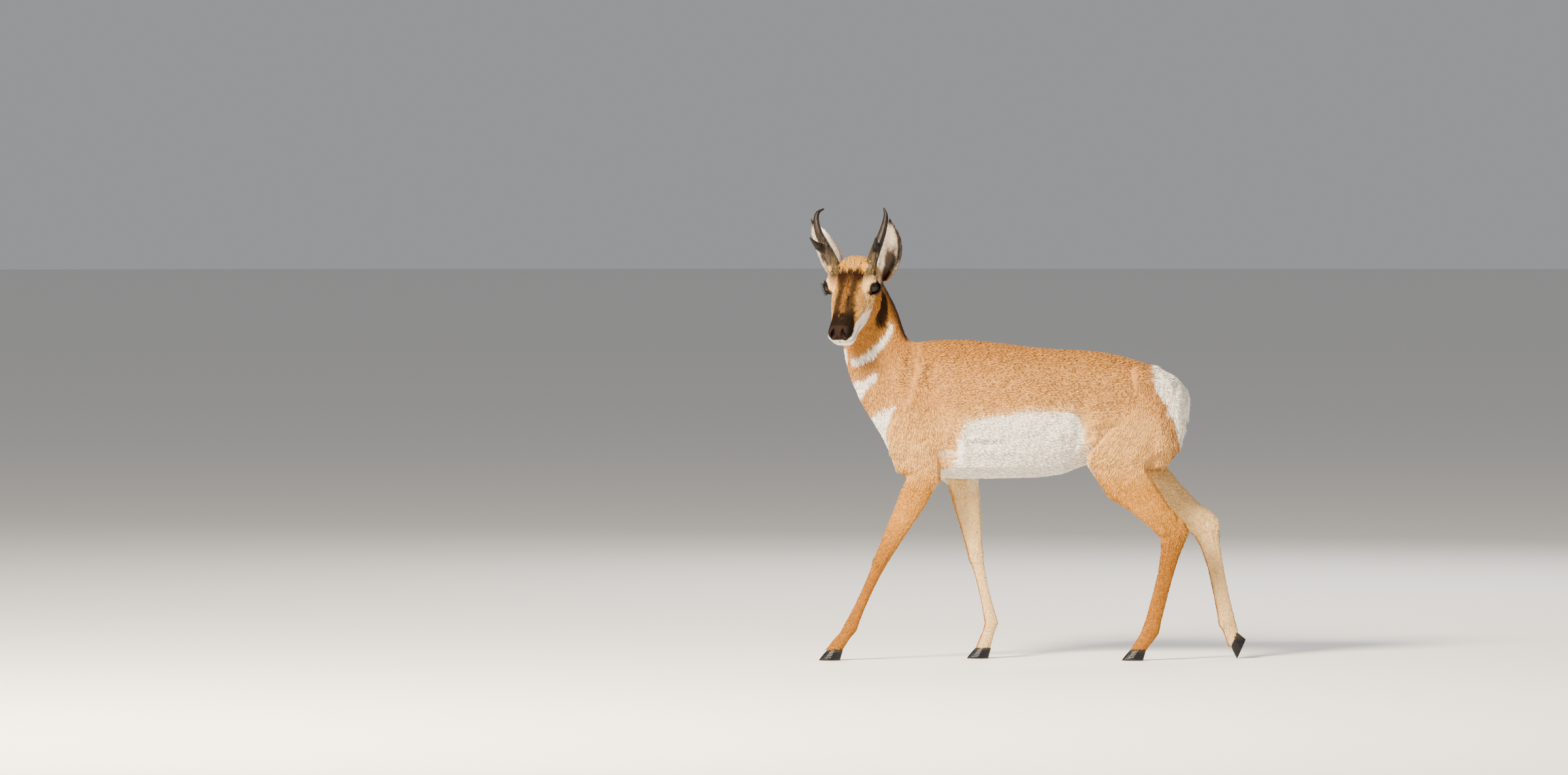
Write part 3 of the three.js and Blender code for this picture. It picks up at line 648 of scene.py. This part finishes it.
eyeSpots = [(-15, -74, 5), (-15, 74, 5)]
refineSetup = [
    (34, eyeSpots + [(-164, 0, -8), (-160, 0, -44), (-140, -26, -38), (-140, 26, -38)]),
    (24, eyeSpots + [(-170, -17, -8), (-170, 17, -8), (-174, 0, -34)]),
]

# Shapes of the face, in the head's frame: on the left, repeated on the right. Those on the midline
# have no side. "push" is along the surface's normal, in millimetres.
faceForms = [
    {"at": (-2, 60, 27), "reach": (32, 24, 13), "push": 3.5},      # brow over the eye
    {"at": (-26, 58, -4), "reach": (14, 16, 16), "push": -2.5},    # hollow before the eye
    {"at": (-14, 60, -26), "reach": (36, 18, 12), "push": 2.5},    # rim of bone under the eye
    {"at": (-55, 50, -30), "reach": (40, 22, 18), "push": 2.0},    # face crest
    {"at": (-70, 44, -58), "reach": (44, 22, 16), "push": -3.5},   # hollow of the cheek
    {"at": (14, 60, -72), "reach": (44, 24, 42), "push": 4.0},     # chewing muscle
    {"at": (-100, 32, -6), "reach": (44, 16, 14), "push": -2.0},   # side of the nose bone
    {"at": (-168, 22, -4), "reach": (14, 13, 15), "push": 3.0},    # wing of the nostril
    {"at": (-166, 22, -29), "reach": (16, 18, 9), "push": 2.4},    # upper lip
    {"at": (-134, 36, -30), "reach": (26, 14, 14), "push": 1.6},   # whisker pad
    {"at": (-158, 14, -56), "reach": (16, 18, 10), "push": 1.8},   # chin
]
middleForms = [
    {"at": (-90, 0, 20), "reach": (90, 14, 20), "push": 1.6},
    {"at": (-20, 0, 36), "reach": (30, 18, 20), "push": -1.5},
    {"at": (-176, 0, -18), "reach": (12, 4, 20), "push": -2.4},
]


def carveFace(mesh):
    co = coordinates(mesh)
    normals = vertexNormals(mesh)
    points = toHead(toMeasured(co))
    turned = normals @ headFrame.T
    face = (points[:, 0] < 120) & (points[:, 0] > -200)
    face &= (np.abs(points[:, 1]) < 100) & (np.abs(points[:, 2]) < 140)
    p = points[face]
    n = turned[face]
    p = pushForms(p, n, faceForms, mirrorAcross=True)
    p = pushForms(p, n, middleForms)
    x, y, z = p.T
    away = np.abs(y)
    # mouth: a sharp crease that fades out at the corner
    gap = z - mouthHeight(x)
    fade = smoothStep(-98, -108, x)
    crease = np.exp(-(gap / 1.9) ** 2) * 3.2 + np.exp(-(gap / 6) ** 2) * 0.8
    p -= n * (crease * fade)[:, None]
    # nostril: a comma, wide and low in front, turning up and back
    sideways = away - 16 - 0.2 * (x + 170)
    curl = np.hypot(sideways / 7.2, (z + 7 + 0.7 * sideways) / 10)
    hole = smoothStep(1.12, 0.45, curl) * smoothStep(-148, -158, x)
    rim = np.exp(-((curl - 1.35) / 0.28) ** 2) * smoothStep(-148, -158, x)
    p += n * (1.3 * rim)[:, None]
    p[:, 0] += 8.5 * hole
    # eye opening: the skin inside it goes behind the ball, and the lids lie on it
    for sign in (-1, 1):
        look, along, up = eyeAxes(sign)
        u, v, w, almond = eyePlace(p, sign)
        outside = smoothStep(0, 7, w)
        across = u ** 2 + v ** 2
        inner = smoothStep(1.05, 0.95, almond) * outside
        lid = smoothStep(1.9, 1.15, almond) * outside * (1 - inner)
        lidTop = np.sqrt(np.clip(1 - across / eyeBall["lidReach"] ** 2, 0, None)) * eyeBall["lidRise"]
        fold = 1.3 * np.exp(-((almond - 1.13) / 0.1) ** 2) - 0.9 * np.exp(-((almond - 1.42) / 0.12) ** 2)
        ballTop = np.sqrt(np.clip(eyeBall["radius"] ** 2 - across, 0, None))
        p = p + look * ((lidTop + fold - w) * lid)[:, None]
        p = p + look * ((ballTop - 5 - w) * inner)[:, None]
    points[face] = p
    setCoordinates(mesh, toFrame(fromHead(points)))


def coatDepth(points):
    gaps, _ = lengthFit(points)

    def depth(piece):
        name = next(n for n in lengthNames if lengths[n] is piece)
        if name in skinSetup["depth"]:
            return skinSetup["depth"][name]
        if name[:4] in ("fore", "hind"):
            return skinSetup["legDepth"] * (2.6 if name[-1] == "0" else 1)
        return skinSetup["headDepth"]

    return blendOver(gaps, depth)


def makeSkin():
    skin = joinFlesh()
    remesh = skin.modifiers.new("oneSurface", "REMESH")
    remesh.mode = "VOXEL"
    remesh.voxel_size = skinSetup["voxel"]
    applyModifiers(skin)
    report("skin remeshed")
    mesh = skin.data
    evenOut(mesh, np.full(len(mesh.vertices), 0.9), skinSetup["firstRounds"])
    points = toMeasured(coordinates(mesh))
    gaps, _ = lengthFit(points)
    headish = np.isin(gaps.argmin(0), [lengthNames.index(n) for n in ("head", "crown", "earLeft", "earRight")])
    group = skin.vertex_groups.new(name="body")
    group.add([int(i) for i in np.flatnonzero(~headish)], 1.0, "REPLACE")
    thin = skin.modifiers.new("thin", "DECIMATE")
    thin.ratio = skinSetup["bodyShare"]
    thin.vertex_group = "body"
    applyModifiers(skin)
    skin.vertex_groups.clear()
    mesh = skin.data
    report(f"skin thinned to {len(mesh.polygons)} faces")
    points = toMeasured(coordinates(mesh))
    gaps, _ = lengthFit(points)
    amount = blendOver(gaps, lambda p: 0.95 if p["radius"] > 55 else (0.5 if p["radius"] > 20 else 0.2), 4)
    onEar = np.isin(gaps.argmin(0), [lengthNames.index(n) for n in ("earLeft", "earRight")])
    amount = np.where(onEar, 0.1, amount)
    evenOut(mesh, amount, skinSetup["bodyRounds"])
    normals = vertexNormals(mesh)
    points = toMeasured(coordinates(mesh))
    points = pushForms(points, normals, bodyForms, mirrorAcross=True)
    points = pushForms(points, normals, kneesAndHocks)
    points -= normals * coatDepth(points)[:, None]
    points[:, 2] = np.maximum(points[:, 2], 1.0)
    setCoordinates(mesh, toFrame(points))
    refineFace(mesh)
    carveFace(mesh)
    mesh.polygons.foreach_set("use_smooth", np.ones(len(mesh.polygons), bool))
    points = toMeasured(coordinates(mesh))
    colour = coatColour(points, vertexNormals(mesh))
    paint(mesh, colour * 0.82)
    report(f"skin shaped, {len(mesh.polygons)} faces")
    return skin


def paint(mesh, colour, name="Coat"):
    layer = mesh.color_attributes.new(name, "FLOAT_COLOR", "POINT")
    rgba = np.ones((len(colour), 4), np.float32)
    rgba[:, :3] = colour
    layer.data.foreach_set("color", rgba.ravel())


# Adds one node with its settings and links: inputs are values, or sockets of other nodes.
def addNode(tree, kind, settings=None, inputs=None):
    node = tree.nodes.new(kind)
    for name, value in (settings or {}).items():
        setattr(node, name, value)
    for name, value in (inputs or {}).items():
        if isinstance(value, bpy.types.NodeSocket):
            tree.links.new(value, node.inputs[name])
        else:
            node.inputs[name].default_value = value
    return node


def newMaterial(name):
    material = bpy.data.materials.new(name)
    material.use_nodes = True
    return material, material.node_tree, material.node_tree.nodes["Principled BSDF"]


# Short guard hair: dull, coarse and slightly grained, each hair a little lighter or darker.
def hairMaterial(name, grainMm, bumpMm, roughness):
    material, tree, shader = newMaterial(name)
    coat = addNode(tree, "ShaderNodeAttribute", {"attribute_name": "Coat"})
    place = addNode(tree, "ShaderNodeTexCoord")
    grain = addNode(tree, "ShaderNodeTexNoise", None,
                    {"Vector": place.outputs["Object"], "Scale": 1000 / grainMm, "Detail": 3.0, "Roughness": 0.65})
    shade = addNode(tree, "ShaderNodeMapRange", None,
                    {"Value": grain.outputs["Fac"], "From Min": 0.3, "From Max": 0.7, "To Min": 0.82, "To Max": 1.16})
    mixed = addNode(tree, "ShaderNodeMix", {"data_type": "RGBA", "blend_type": "MULTIPLY"}, {"Factor": 1.0})
    tree.links.new(coat.outputs["Color"], mixed.inputs["A"])
    tree.links.new(shade.outputs["Result"], mixed.inputs["B"])
    bump = addNode(tree, "ShaderNodeBump", None,
                   {"Height": grain.outputs["Fac"], "Strength": 0.5, "Distance": bumpMm / 1000})
    tree.links.new(mixed.outputs["Result"], shader.inputs["Base Color"])
    tree.links.new(bump.outputs["Normal"], shader.inputs["Normal"])
    shader.inputs["Roughness"].default_value = roughness
    shader.inputs["Specular IOR Level"].default_value = 0.07
    return material




skinMaterial = hairMaterial("furredSkin", 1.6, 1.2, 0.82)
skin = makeSkin()
skin.data.materials.append(skinMaterial)
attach(skin, "root")
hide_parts(*fleshNodes)


# Coat: thin locks of hair, three-sided and tapering to a tip, that lie along the body

coatSetup = {"most": 19000, "lean": 0.075, "wander": 0.11, "sink": 0.6, "patch": 0.003, "seed": 5}
pieceLengths = {
    "coatBack": ["back"],
    "coatBelly": ["belly"],
    "coatNeck": ["neck", "chest"],
    "coatRump": ["rump", "tail"],
    "coatShoulders": ["foreLeft0", "foreRight0"],
    "coatThighs": ["hindLeft0", "hindRight0"],
    "coatForelegs": [f"fore{s}{i}" for s in ("Left", "Right") for i in (1, 2, 3)],
    "coatHindlegs": [f"hind{s}{i}" for s in ("Left", "Right") for i in (1, 2, 3)],
    "coatHead": ["head"],
    "coatCrown": ["crown", "earLeft", "earRight"],
}


# Scatters roots over the skin, so many to the square centimetre, and keeps them off bare places.
def scatterRoots(mesh):
    rng = np.random.default_rng(coatSetup["seed"])
    mesh.calc_loop_triangles()
    corners = np.empty(len(mesh.loop_triangles) * 3, np.int32)
    mesh.loop_triangles.foreach_get("vertices", corners)
    corners = corners.reshape(-1, 3)
    points = toMeasured(coordinates(mesh))
    normals = vertexNormals(mesh)
    a, b, c = points[corners[:, 0]], points[corners[:, 1]], points[corners[:, 2]]
    area = np.linalg.norm(np.cross(b - a, c - a), axis=1) / 200
    middles = (a + b + c) / 3
    gaps, _ = lengthFit(middles)
    wanted = area * blendOver(gaps, lambda p: p["count"], 4)
    wanted *= 1 - bareShare(middles)
    count = rng.poisson(wanted)
    face = np.repeat(np.arange(len(count)), count)
    u, v = rng.random((2, len(face)))
    over = u + v > 1
    u[over], v[over] = 1 - u[over], 1 - v[over]
    roots = a[face] + (b - a)[face] * u[:, None] + (c - a)[face] * v[:, None]
    n0, n1, n2 = (normals[corners[face, i]] for i in range(3))
    turned = n0 + (n1 - n0) * u[:, None] + (n2 - n0) * v[:, None]
    return roots, turned / np.linalg.norm(turned, axis=1)[:, None]


# Where no hair grows: the eye opening, the nose and the mouth's crease.
def bareShare(points):
    h = toHead(points)
    x, away, z = h[:, 0], np.abs(h[:, 1]), h[:, 2]
    eye = np.zeros(len(h), bool)
    for sign in (-1, 1):
        _, _, w, almond = eyePlace(h, sign)
        eye |= (almond < 1.16) & (w > 0)
    nose = (x < -156) & (away < 28) & (z > -20) & (z < 8)
    mouth = (np.abs(z - mouthHeight(x)) < 2.5) & (x < -112) & (away < 60)
    return (eye | nose | mouth).astype(float)


def layOfHair(roots, normals):
    gaps, _ = lengthFit(roots)
    run = blendOver(gaps, hairRun, 2.2)
    rng = np.random.default_rng(coatSetup["seed"] + 1)
    run = run + (0, 0, -0.22)
    sway = np.stack([softNoise(roots + 40 * i, 24) - 0.5 for i in range(3)], axis=1)
    run = run + sway * 0.15 + rng.normal(0, coatSetup["wander"], run.shape)
    run -= normals * (run * normals).sum(1)[:, None]
    return run / np.linalg.norm(run, axis=1)[:, None]


# A place for each tuft's patch: one column for each length, turned round it and run along it.
def unwrapRoots(roots, names):
    gaps, _ = lengthFit(roots)
    picks = np.array([lengthNames.index(n) for n in names])
    column = gaps[picks].argmin(0)
    uv = np.empty((len(roots), 2))
    for i, name in enumerate(names):
        here = column == i
        start = np.array(lengths[name]["from"], float)
        run = np.array(lengths[name]["to"], float) - start
        t = ((roots[here] - start) @ run) / (run @ run)
        axis = run / np.linalg.norm(run)
        side = np.cross(axis, (0.0, 0.31, 0.95) if abs(axis[2]) < 0.8 else (0.0, 1.0, 0.0))
        side /= np.linalg.norm(side)
        up = np.cross(side, axis)
        out = roots[here] - start
        turn = np.arctan2(out @ side, out @ up) / (2 * math.pi) + 0.5
        low, high = (t.min(), t.max()) if len(t) else (0, 1)
        uv[here, 0] = (i + 0.02 + 0.94 * turn) / len(names)
        uv[here, 1] = 0.01 + 0.97 * (t - low) / max(high - low, 1e-6)
    return uv


# One lock is seven points: left, right and ridge at the root and again at mid length, then the tip.
def growPiece(name, roots, normals, names, material):
    rng = np.random.default_rng(len(roots))
    gaps, _ = lengthFit(roots)
    hair = blendOver(gaps, lambda p: p["hair"], 4) * rng.uniform(0.72, 1.25, len(roots))
    wide = blendOver(gaps, lambda p: p["width"], 4) * rng.uniform(0.7, 1.2, len(roots))
    along = layOfHair(roots, normals)
    hair, wide, lift = styleHair(roots, normals, hair, wide, rng)
    side = np.cross(normals, along)
    thick = wide * 0.17
    base = roots - normals * coatSetup["sink"]
    rise = hair * lift
    middle = base + along * (hair * 0.5)[:, None] + normals * (rise * 0.75 + coatSetup["sink"])[:, None]
    tip = base + along * hair[:, None] + normals * (rise + coatSetup["sink"] * 0.8)[:, None]
    rows = [
        base - side * (wide / 2)[:, None], base + side * (wide / 2)[:, None], base + normals * thick[:, None],
        middle - side * (wide * 0.42)[:, None], middle + side * (wide * 0.42)[:, None],
        middle + normals * thick[:, None], tip,
    ]
    points = np.stack(rows, axis=1)
    lockFaces = [(0, 2, 5, 3), (2, 1, 4, 5), (1, 0, 3, 4), (3, 5, 6), (5, 4, 6), (4, 3, 6), (0, 1, 2)]
    sizes = np.array([len(f) for f in lockFaces])
    pattern = np.concatenate(lockFaces)
    loops = (np.arange(len(roots))[:, None] * 7 + pattern).ravel()
    firsts = np.concatenate([[0], np.cumsum(sizes)[:-1]])
    starts = (np.arange(len(roots))[:, None] * sizes.sum() + firsts).ravel()
    mesh = bpy.data.meshes.new(name)
    mesh.vertices.add(len(roots) * 7)
    mesh.vertices.foreach_set("co", toFrame(points.reshape(-1, 3)).ravel())
    mesh.loops.add(len(loops))
    mesh.loops.foreach_set("vertex_index", loops)
    mesh.polygons.add(len(starts))
    mesh.polygons.foreach_set("loop_start", starts)
    mesh.update(calc_edges=True)
    mesh.polygons.foreach_set("use_smooth", np.ones(len(starts), bool))
    colour = coatColour(roots, normals) * rng.normal(1, 0.10, len(roots)).clip(0.7, 1.3)[:, None]
    shade = np.array([0.72, 0.72, 0.82, 0.98, 0.98, 1.04, 1.16])
    paint(mesh, np.clip(colour[:, None, :] * shade[None, :, None], 0, 1).reshape(-1, 3))
    uv = unwrapRoots(roots, names)
    corner = np.array([(0, 0), (1, 0), (0.5, 0.1), (0.1, 0.6), (0.9, 0.6), (0.5, 0.65), (0.5, 1)]) - 0.5
    uvs = uv[:, None, :] + corner[None] * coatSetup["patch"]
    layer = mesh.uv_layers.new(name="OFBake")
    layer.data.foreach_set("uv", uvs.reshape(-1, 2)[loops].ravel())
    mesh.materials.append(material)
    coat = bpy.data.objects.new(name, mesh)
    bpy.context.collection.objects.link(coat)
    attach(coat, "root")
    return len(mesh.loop_triangles) if mesh.calc_loop_triangles() else len(starts)


# Hair stands out from the body a little more on the rump, mane and crown, and hardly on the face.
def styleHair(roots, normals, hair, wide, rng):
    lift = np.full(len(roots), coatSetup["lean"])
    h = toHead(roots)
    x, away, z = h[:, 0], np.abs(h[:, 1]), h[:, 2]
    onHead = (x > -200) & (x < 110) & (away < 75) & (np.abs(z) < 130)
    muzzle = onHead & (x < -90)
    hair = np.where(muzzle, hair * 0.62, hair)
    wide = np.where(muzzle, wide * 0.8, wide)
    lift = np.where(muzzle, 0.07, lift)
    crown = onHead & (x > 8) & (z > 22)
    lift = np.where(crown, 0.26, lift)
    nearEye = onHead & (np.hypot(x + 8, z - 3) < 30) & (away > 42)
    hair = np.where(nearEye, hair * 0.5, hair)
    rump = roots[:, 0] > 350
    lift = np.where(rump, 0.13, lift)
    lift = lift * rng.uniform(0.4, 1.7, len(roots))
    return hair, wide, lift


def growCoat():
    material = hairMaterial("guardHair", 2.4, 0.3, 0.8)
    roots, normals = scatterRoots(skin.data)
    gaps, _ = lengthFit(roots)
    near = gaps.argmin(0)
    total = 0
    for name, names in pieceLengths.items():
        chosen = np.flatnonzero(np.isin(near, [lengthNames.index(n) for n in names]))
        axis = 1 if name in ("coatBack", "coatBelly") else 0
        order = chosen[np.argsort(roots[chosen, axis], kind="stable")]
        parts = max(1, math.ceil(len(order) / coatSetup["most"]))
        for i, part in enumerate(np.array_split(order, parts)):
            label = name if parts == 1 else f"{name}_{i + 1}"
            growPiece(label, roots[part], normals[part], names, material)
            total += len(part)
            print(f"  {label}: {len(part)} tufts")
    report(f"coat of {total} tufts")


growCoat()


# Eyes: near-black and wet, with a dull brown iris round a long level pupil

eyeLook = {"iris": "#170C07", "pupil": "#050404", "ring": 12, "pupilLong": 10.5, "pupilTall": 6.5, "rings": 40}


def eyeMaterial(sign):
    material, tree, shader = newMaterial("wetEye" + ("Left" if sign < 0 else "Right"))
    layer = addNode(tree, "ShaderNodeAttribute", {"attribute_name": "Iris"})
    tree.links.new(layer.outputs["Color"], shader.inputs["Base Color"])
    shader.inputs["Roughness"].default_value = 0.04
    shader.inputs["IOR"].default_value = 1.33
    return material


def makeEye(side, sign):
    bm = bmesh.new()
    rings = eyeLook["rings"]
    bmesh.ops.create_uvsphere(bm, u_segments=rings, v_segments=rings // 2 + 8, radius=eyeBall["radius"])
    mesh = bpy.data.meshes.new("eyeball" + side)
    bm.to_mesh(mesh)
    bm.free()
    ball = coordinates(mesh) + np.array(eyeBall["at"]) * (1, sign, 1)
    setCoordinates(mesh, toFrame(fromHead(ball)))
    mesh.polygons.foreach_set("use_smooth", np.ones(len(mesh.polygons), bool))
    u, v, w, _ = eyePlace(ball, sign)
    iris = smoothStep(eyeLook["ring"] + 2, eyeLook["ring"], np.hypot(u, v)) * (w > 0)
    pupil = smoothStep(1.1, 0.9, np.hypot(u / eyeLook["pupilLong"], v / eyeLook["pupilTall"])) * (w > 0)
    colour = np.tile(np.array(linear("#0D0907")), (len(ball), 1))
    colour = mix(colour, linear(eyeLook["iris"]), iris)
    paint(mesh, mix(colour, linear(eyeLook["pupil"]), pupil), "Iris")
    mesh.materials.append(eyeMaterial(sign))
    eye = bpy.data.objects.new("eyeball" + side, mesh)
    bpy.context.collection.objects.link(eye)
    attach(eye, "root")
    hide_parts("eye_" + side.lower())


# Lashes: a row of stiff black hairs along the upper lid, curving out and down
lashSetup = {"count": 34, "long": 11, "thick": 0.5, "seed": 21}


def makeLashes(side, sign):
    rng = np.random.default_rng(lashSetup["seed"] + sign)
    look, along, up = eyeAxes(sign)
    middle = np.array(eyeBall["at"]) * (1, sign, 1)
    bm = bmesh.new()
    for i in range(lashSetup["count"]):
        turn = math.radians(20 + 145 * (i + rng.uniform(-0.3, 0.3)) / lashSetup["count"])
        rim = along * math.cos(turn) * eyeBall["long"] * 1.08 + up * math.sin(turn) * eyeBall["tall"] * 1.08
        lid = math.sqrt(1 - rim @ rim / eyeBall["lidReach"] ** 2) * eyeBall["lidRise"]
        root = middle + rim + look * (lid + 0.2)
        fan = rim / np.linalg.norm(rim)
        size = lashSetup["long"] * rng.uniform(0.7, 1.1)
        points = [root - look, root + look * 0.5 * size + fan * 0.12 * size]
        points.append(root + look * 0.85 * size + fan * 0.5 * size)
        rows = []
        for point, thick in zip(points, (1.0, 0.75, 0.12)):
            ring = bmesh.ops.create_circle(bm, segments=4, radius=lashSetup["thick"] * thick)["verts"]
            rows.append(ring)
            for vert, offset in zip(ring, (along, up, -along, -up)):
                vert.co = Vector(point + offset * lashSetup["thick"] * thick)
        for low, high in zip(rows, rows[1:]):
            for k in range(4):
                bm.faces.new((low[k], low[(k + 1) % 4], high[(k + 1) % 4], high[k]))
        bm.faces.new(rows[0][::-1])
        bm.faces.new(rows[-1])
    bmesh.ops.recalc_face_normals(bm, faces=bm.faces)
    mesh = bpy.data.meshes.new("lashes" + side)
    bm.to_mesh(mesh)
    bm.free()
    setCoordinates(mesh, toFrame(fromHead(coordinates(mesh))))
    mesh.materials.append(lashMaterial)
    lashes = bpy.data.objects.new("lashes" + side, mesh)
    bpy.context.collection.objects.link(lashes)
    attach(lashes, "root")


# Stiff black hair: dull, with only a faint shine along it.
def blackHairMaterial():
    material, tree, shader = newMaterial("blackLash")
    place = addNode(tree, "ShaderNodeTexCoord")
    noise = addNode(tree, "ShaderNodeTexNoise", None, {"Vector": place.outputs["Object"], "Scale": 400.0})
    ramp = addNode(tree, "ShaderNodeValToRGB", None, {"Fac": noise.outputs["Fac"]})
    ramp.color_ramp.elements[0].color = (*linear("#0A0807"), 1)
    ramp.color_ramp.elements[1].color = (*linear("#211812"), 1)
    tree.links.new(ramp.outputs["Color"], shader.inputs["Base Color"])
    shader.inputs["Roughness"].default_value = 0.5
    return material


lashMaterial = blackHairMaterial()
for side, sign in (("Left", -1), ("Right", 1)):
    makeEye(side, sign)
    makeLashes(side, sign)
report("eyes and lashes")


# A smooth copy of a faceted solid: merged, made one fine surface and evened out.
def smoothCopy(name, nodes, voxelMm, rounds, amount):
    joined = bmesh.new()
    for node in nodes:
        joined.from_mesh(nodeObject(node).data)
    bmesh.ops.remove_doubles(joined, verts=joined.verts, dist=1e-6)
    mesh = bpy.data.meshes.new(name)
    joined.to_mesh(mesh)
    joined.free()
    copy = bpy.data.objects.new(name, mesh)
    bpy.context.collection.objects.link(copy)
    remesh = copy.modifiers.new("oneSurface", "REMESH")
    remesh.mode = "VOXEL"
    remesh.voxel_size = voxelMm / 1000
    applyModifiers(copy)
    evenOut(copy.data, np.full(len(copy.data.vertices), amount), rounds)
    copy.data.polygons.foreach_set("use_smooth", np.ones(len(copy.data.polygons), bool))
    return copy


# Horns: a keratin sheath, rough and ridged with stuck hair low down, smooth and black at the tips
hornLook = {
    "voxel": 1.3, "rounds": 14, "ridge": 0.55, "wave": 5.2,
    "low": "#3B2F1B", "mid": "#241A11", "fleck": "#6E5630", "tip": "#0F0B09", "grooveShade": "#17110D",
}


def makeHorn(side, sign):
    node = "horn_" + side.lower()
    horn = smoothCopy("hornSheath" + side, [node], hornLook["voxel"], hornLook["rounds"], 0.85)
    mesh = horn.data
    points = toMeasured(coordinates(mesh))
    base = fromHead((34, 51 * sign, 31))
    rise = (points[:, 2] - base[2]) / 165
    flutes = softNoise(points * (1.0, 1.0, 0.16), hornLook["wave"]) - 0.5
    fine = softNoise(points * (1.0, 1.0, 0.3) + 80, 2.4) - 0.5
    rough = smoothStep(0.75, 0.2, rise)
    normals = vertexNormals(mesh)
    grow = hornLook["ridge"] * (1.7 * flutes + 0.8 * fine) * (0.3 + 0.7 * rough)
    grow = grow + 1.3 * smoothStep(0.07, -0.02, rise)
    setCoordinates(mesh, toFrame(points + normals * grow[:, None]))
    wobble = softNoise(points, 14) + 0.5 * softNoise(points + 60, 5) - 0.75
    colour = np.tile(np.array(linear(hornLook["low"])), (len(points), 1))
    colour = mix(colour, linear(hornLook["mid"]), smoothStep(0.05, 0.45, rise + 0.15 * wobble))
    # painted shade: the grooves between the ridges, where the surface is pushed in, are coloured darker
    colour = mix(colour, linear(hornLook["grooveShade"]), smoothStep(0.0, -0.3, flutes + 0.4 * fine) * 0.75)
    flecks = smoothStep(0.12, 0.4, fine + 0.3 * wobble) * rough * 0.8
    colour = mix(colour, linear(hornLook["fleck"]), flecks)
    outward = points[:, 1] - np.interp(rise, (0, 1), (base[1], base[1] + 12))
    prong = smoothStep(-16, -30, outward) * smoothStep(0.15, 0.3, rise)
    tipped = np.maximum(smoothStep(0.62, 0.98, rise + 0.08 * wobble), prong) * 0.95
    colour = mix(colour, linear(hornLook["tip"]), tipped)
    paint(mesh, colour)
    mesh.materials.append(hornMaterial)
    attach(horn, "root")
    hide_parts("horn_" + side.lower())


# Keratin horn: dark, finely fibrous along its length, with a low dry shine.
def keratin(name, attribute, roughness, fibreMm, stretch):
    material, tree, shader = newMaterial(name)
    shader.inputs["Specular IOR Level"].default_value = 0.2
    colour = addNode(tree, "ShaderNodeAttribute", {"attribute_name": attribute})
    place = addNode(tree, "ShaderNodeTexCoord")
    along = addNode(tree, "ShaderNodeMapping", None, {"Vector": place.outputs["Object"], "Scale": stretch})
    fibre = addNode(tree, "ShaderNodeTexNoise", None,
                    {"Vector": along.outputs["Vector"], "Scale": 1000 / fibreMm, "Detail": 4.0, "Roughness": 0.6})
    bump = addNode(tree, "ShaderNodeBump", None,
                   {"Height": fibre.outputs["Fac"], "Strength": 0.6, "Distance": fibreMm / 2500})
    dull = addNode(tree, "ShaderNodeMapRange", None,
                   {"Value": fibre.outputs["Fac"], "To Min": roughness - 0.08, "To Max": roughness + 0.12})
    tree.links.new(colour.outputs["Color"], shader.inputs["Base Color"])
    tree.links.new(bump.outputs["Normal"], shader.inputs["Normal"])
    tree.links.new(dull.outputs["Result"], shader.inputs["Roughness"])
    return material


hornMaterial = keratin("hornKeratin", "Coat", 0.48, 1.8, (1.0, 1.0, 0.2))
for side, sign in (("Left", -1), ("Right", 1)):
    makeHorn(side, sign)
report("horns")


# Hooves: smooth black horn with a dull band under the hair and worn, dusty edges at the ground
hoofLook = {"voxel": 1.2, "rounds": 6, "wall": "#131316", "band": "#2B2622", "worn": "#3B3733"}


def makeHoof(leg, claw):
    node = f"{leg}_hoof_{claw}"
    first, last = leg.split("leg_")
    name = "claw" + first.capitalize() + last.capitalize() + claw.capitalize()
    hoof = smoothCopy(name, [node], hoofLook["voxel"], hoofLook["rounds"], 0.8)
    mesh = hoof.data
    points = toMeasured(coordinates(mesh))
    points[:, 2] = np.where(points[:, 2] < 1.0, 0.0, points[:, 2])
    low, high = points[:, 2].min(), points[:, 2].max()
    rise = (points[:, 2] - low) / (high - low)
    rings = np.sin(rise * 42 + 3 * softNoise(points, 20)) * smoothStep(0.1, 0.3, rise)
    normals = vertexNormals(mesh)
    points += normals * (0.16 * rings)[:, None] * (points[:, 2] > 1.0)[:, None]
    points[:, 2] = np.maximum(points[:, 2], 0)
    setCoordinates(mesh, toFrame(points))
    wobble = softNoise(points, 9) - 0.5
    colour = np.tile(np.array(linear(hoofLook["wall"])), (len(points), 1))
    colour = mix(colour, linear(hoofLook["band"]), smoothStep(0.72, 0.95, rise + 0.2 * wobble))
    colour = mix(colour, linear(hoofLook["worn"]), smoothStep(0.14, 0.02, rise + 0.12 * wobble) * 0.8)
    paint(mesh, colour)
    mesh.materials.append(hoofMaterial)
    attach(hoof, "root")
    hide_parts(node)


hoofMaterial = keratin("hoofKeratin", "Coat", 0.26, 2.2, (1.0, 1.0, 0.5))
for leg in ("foreleg_left", "foreleg_right", "hindleg_left", "hindleg_right"):
    for claw in ("outer", "inner"):
        makeHoof(leg, claw)
report("hooves")

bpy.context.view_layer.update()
report("done")
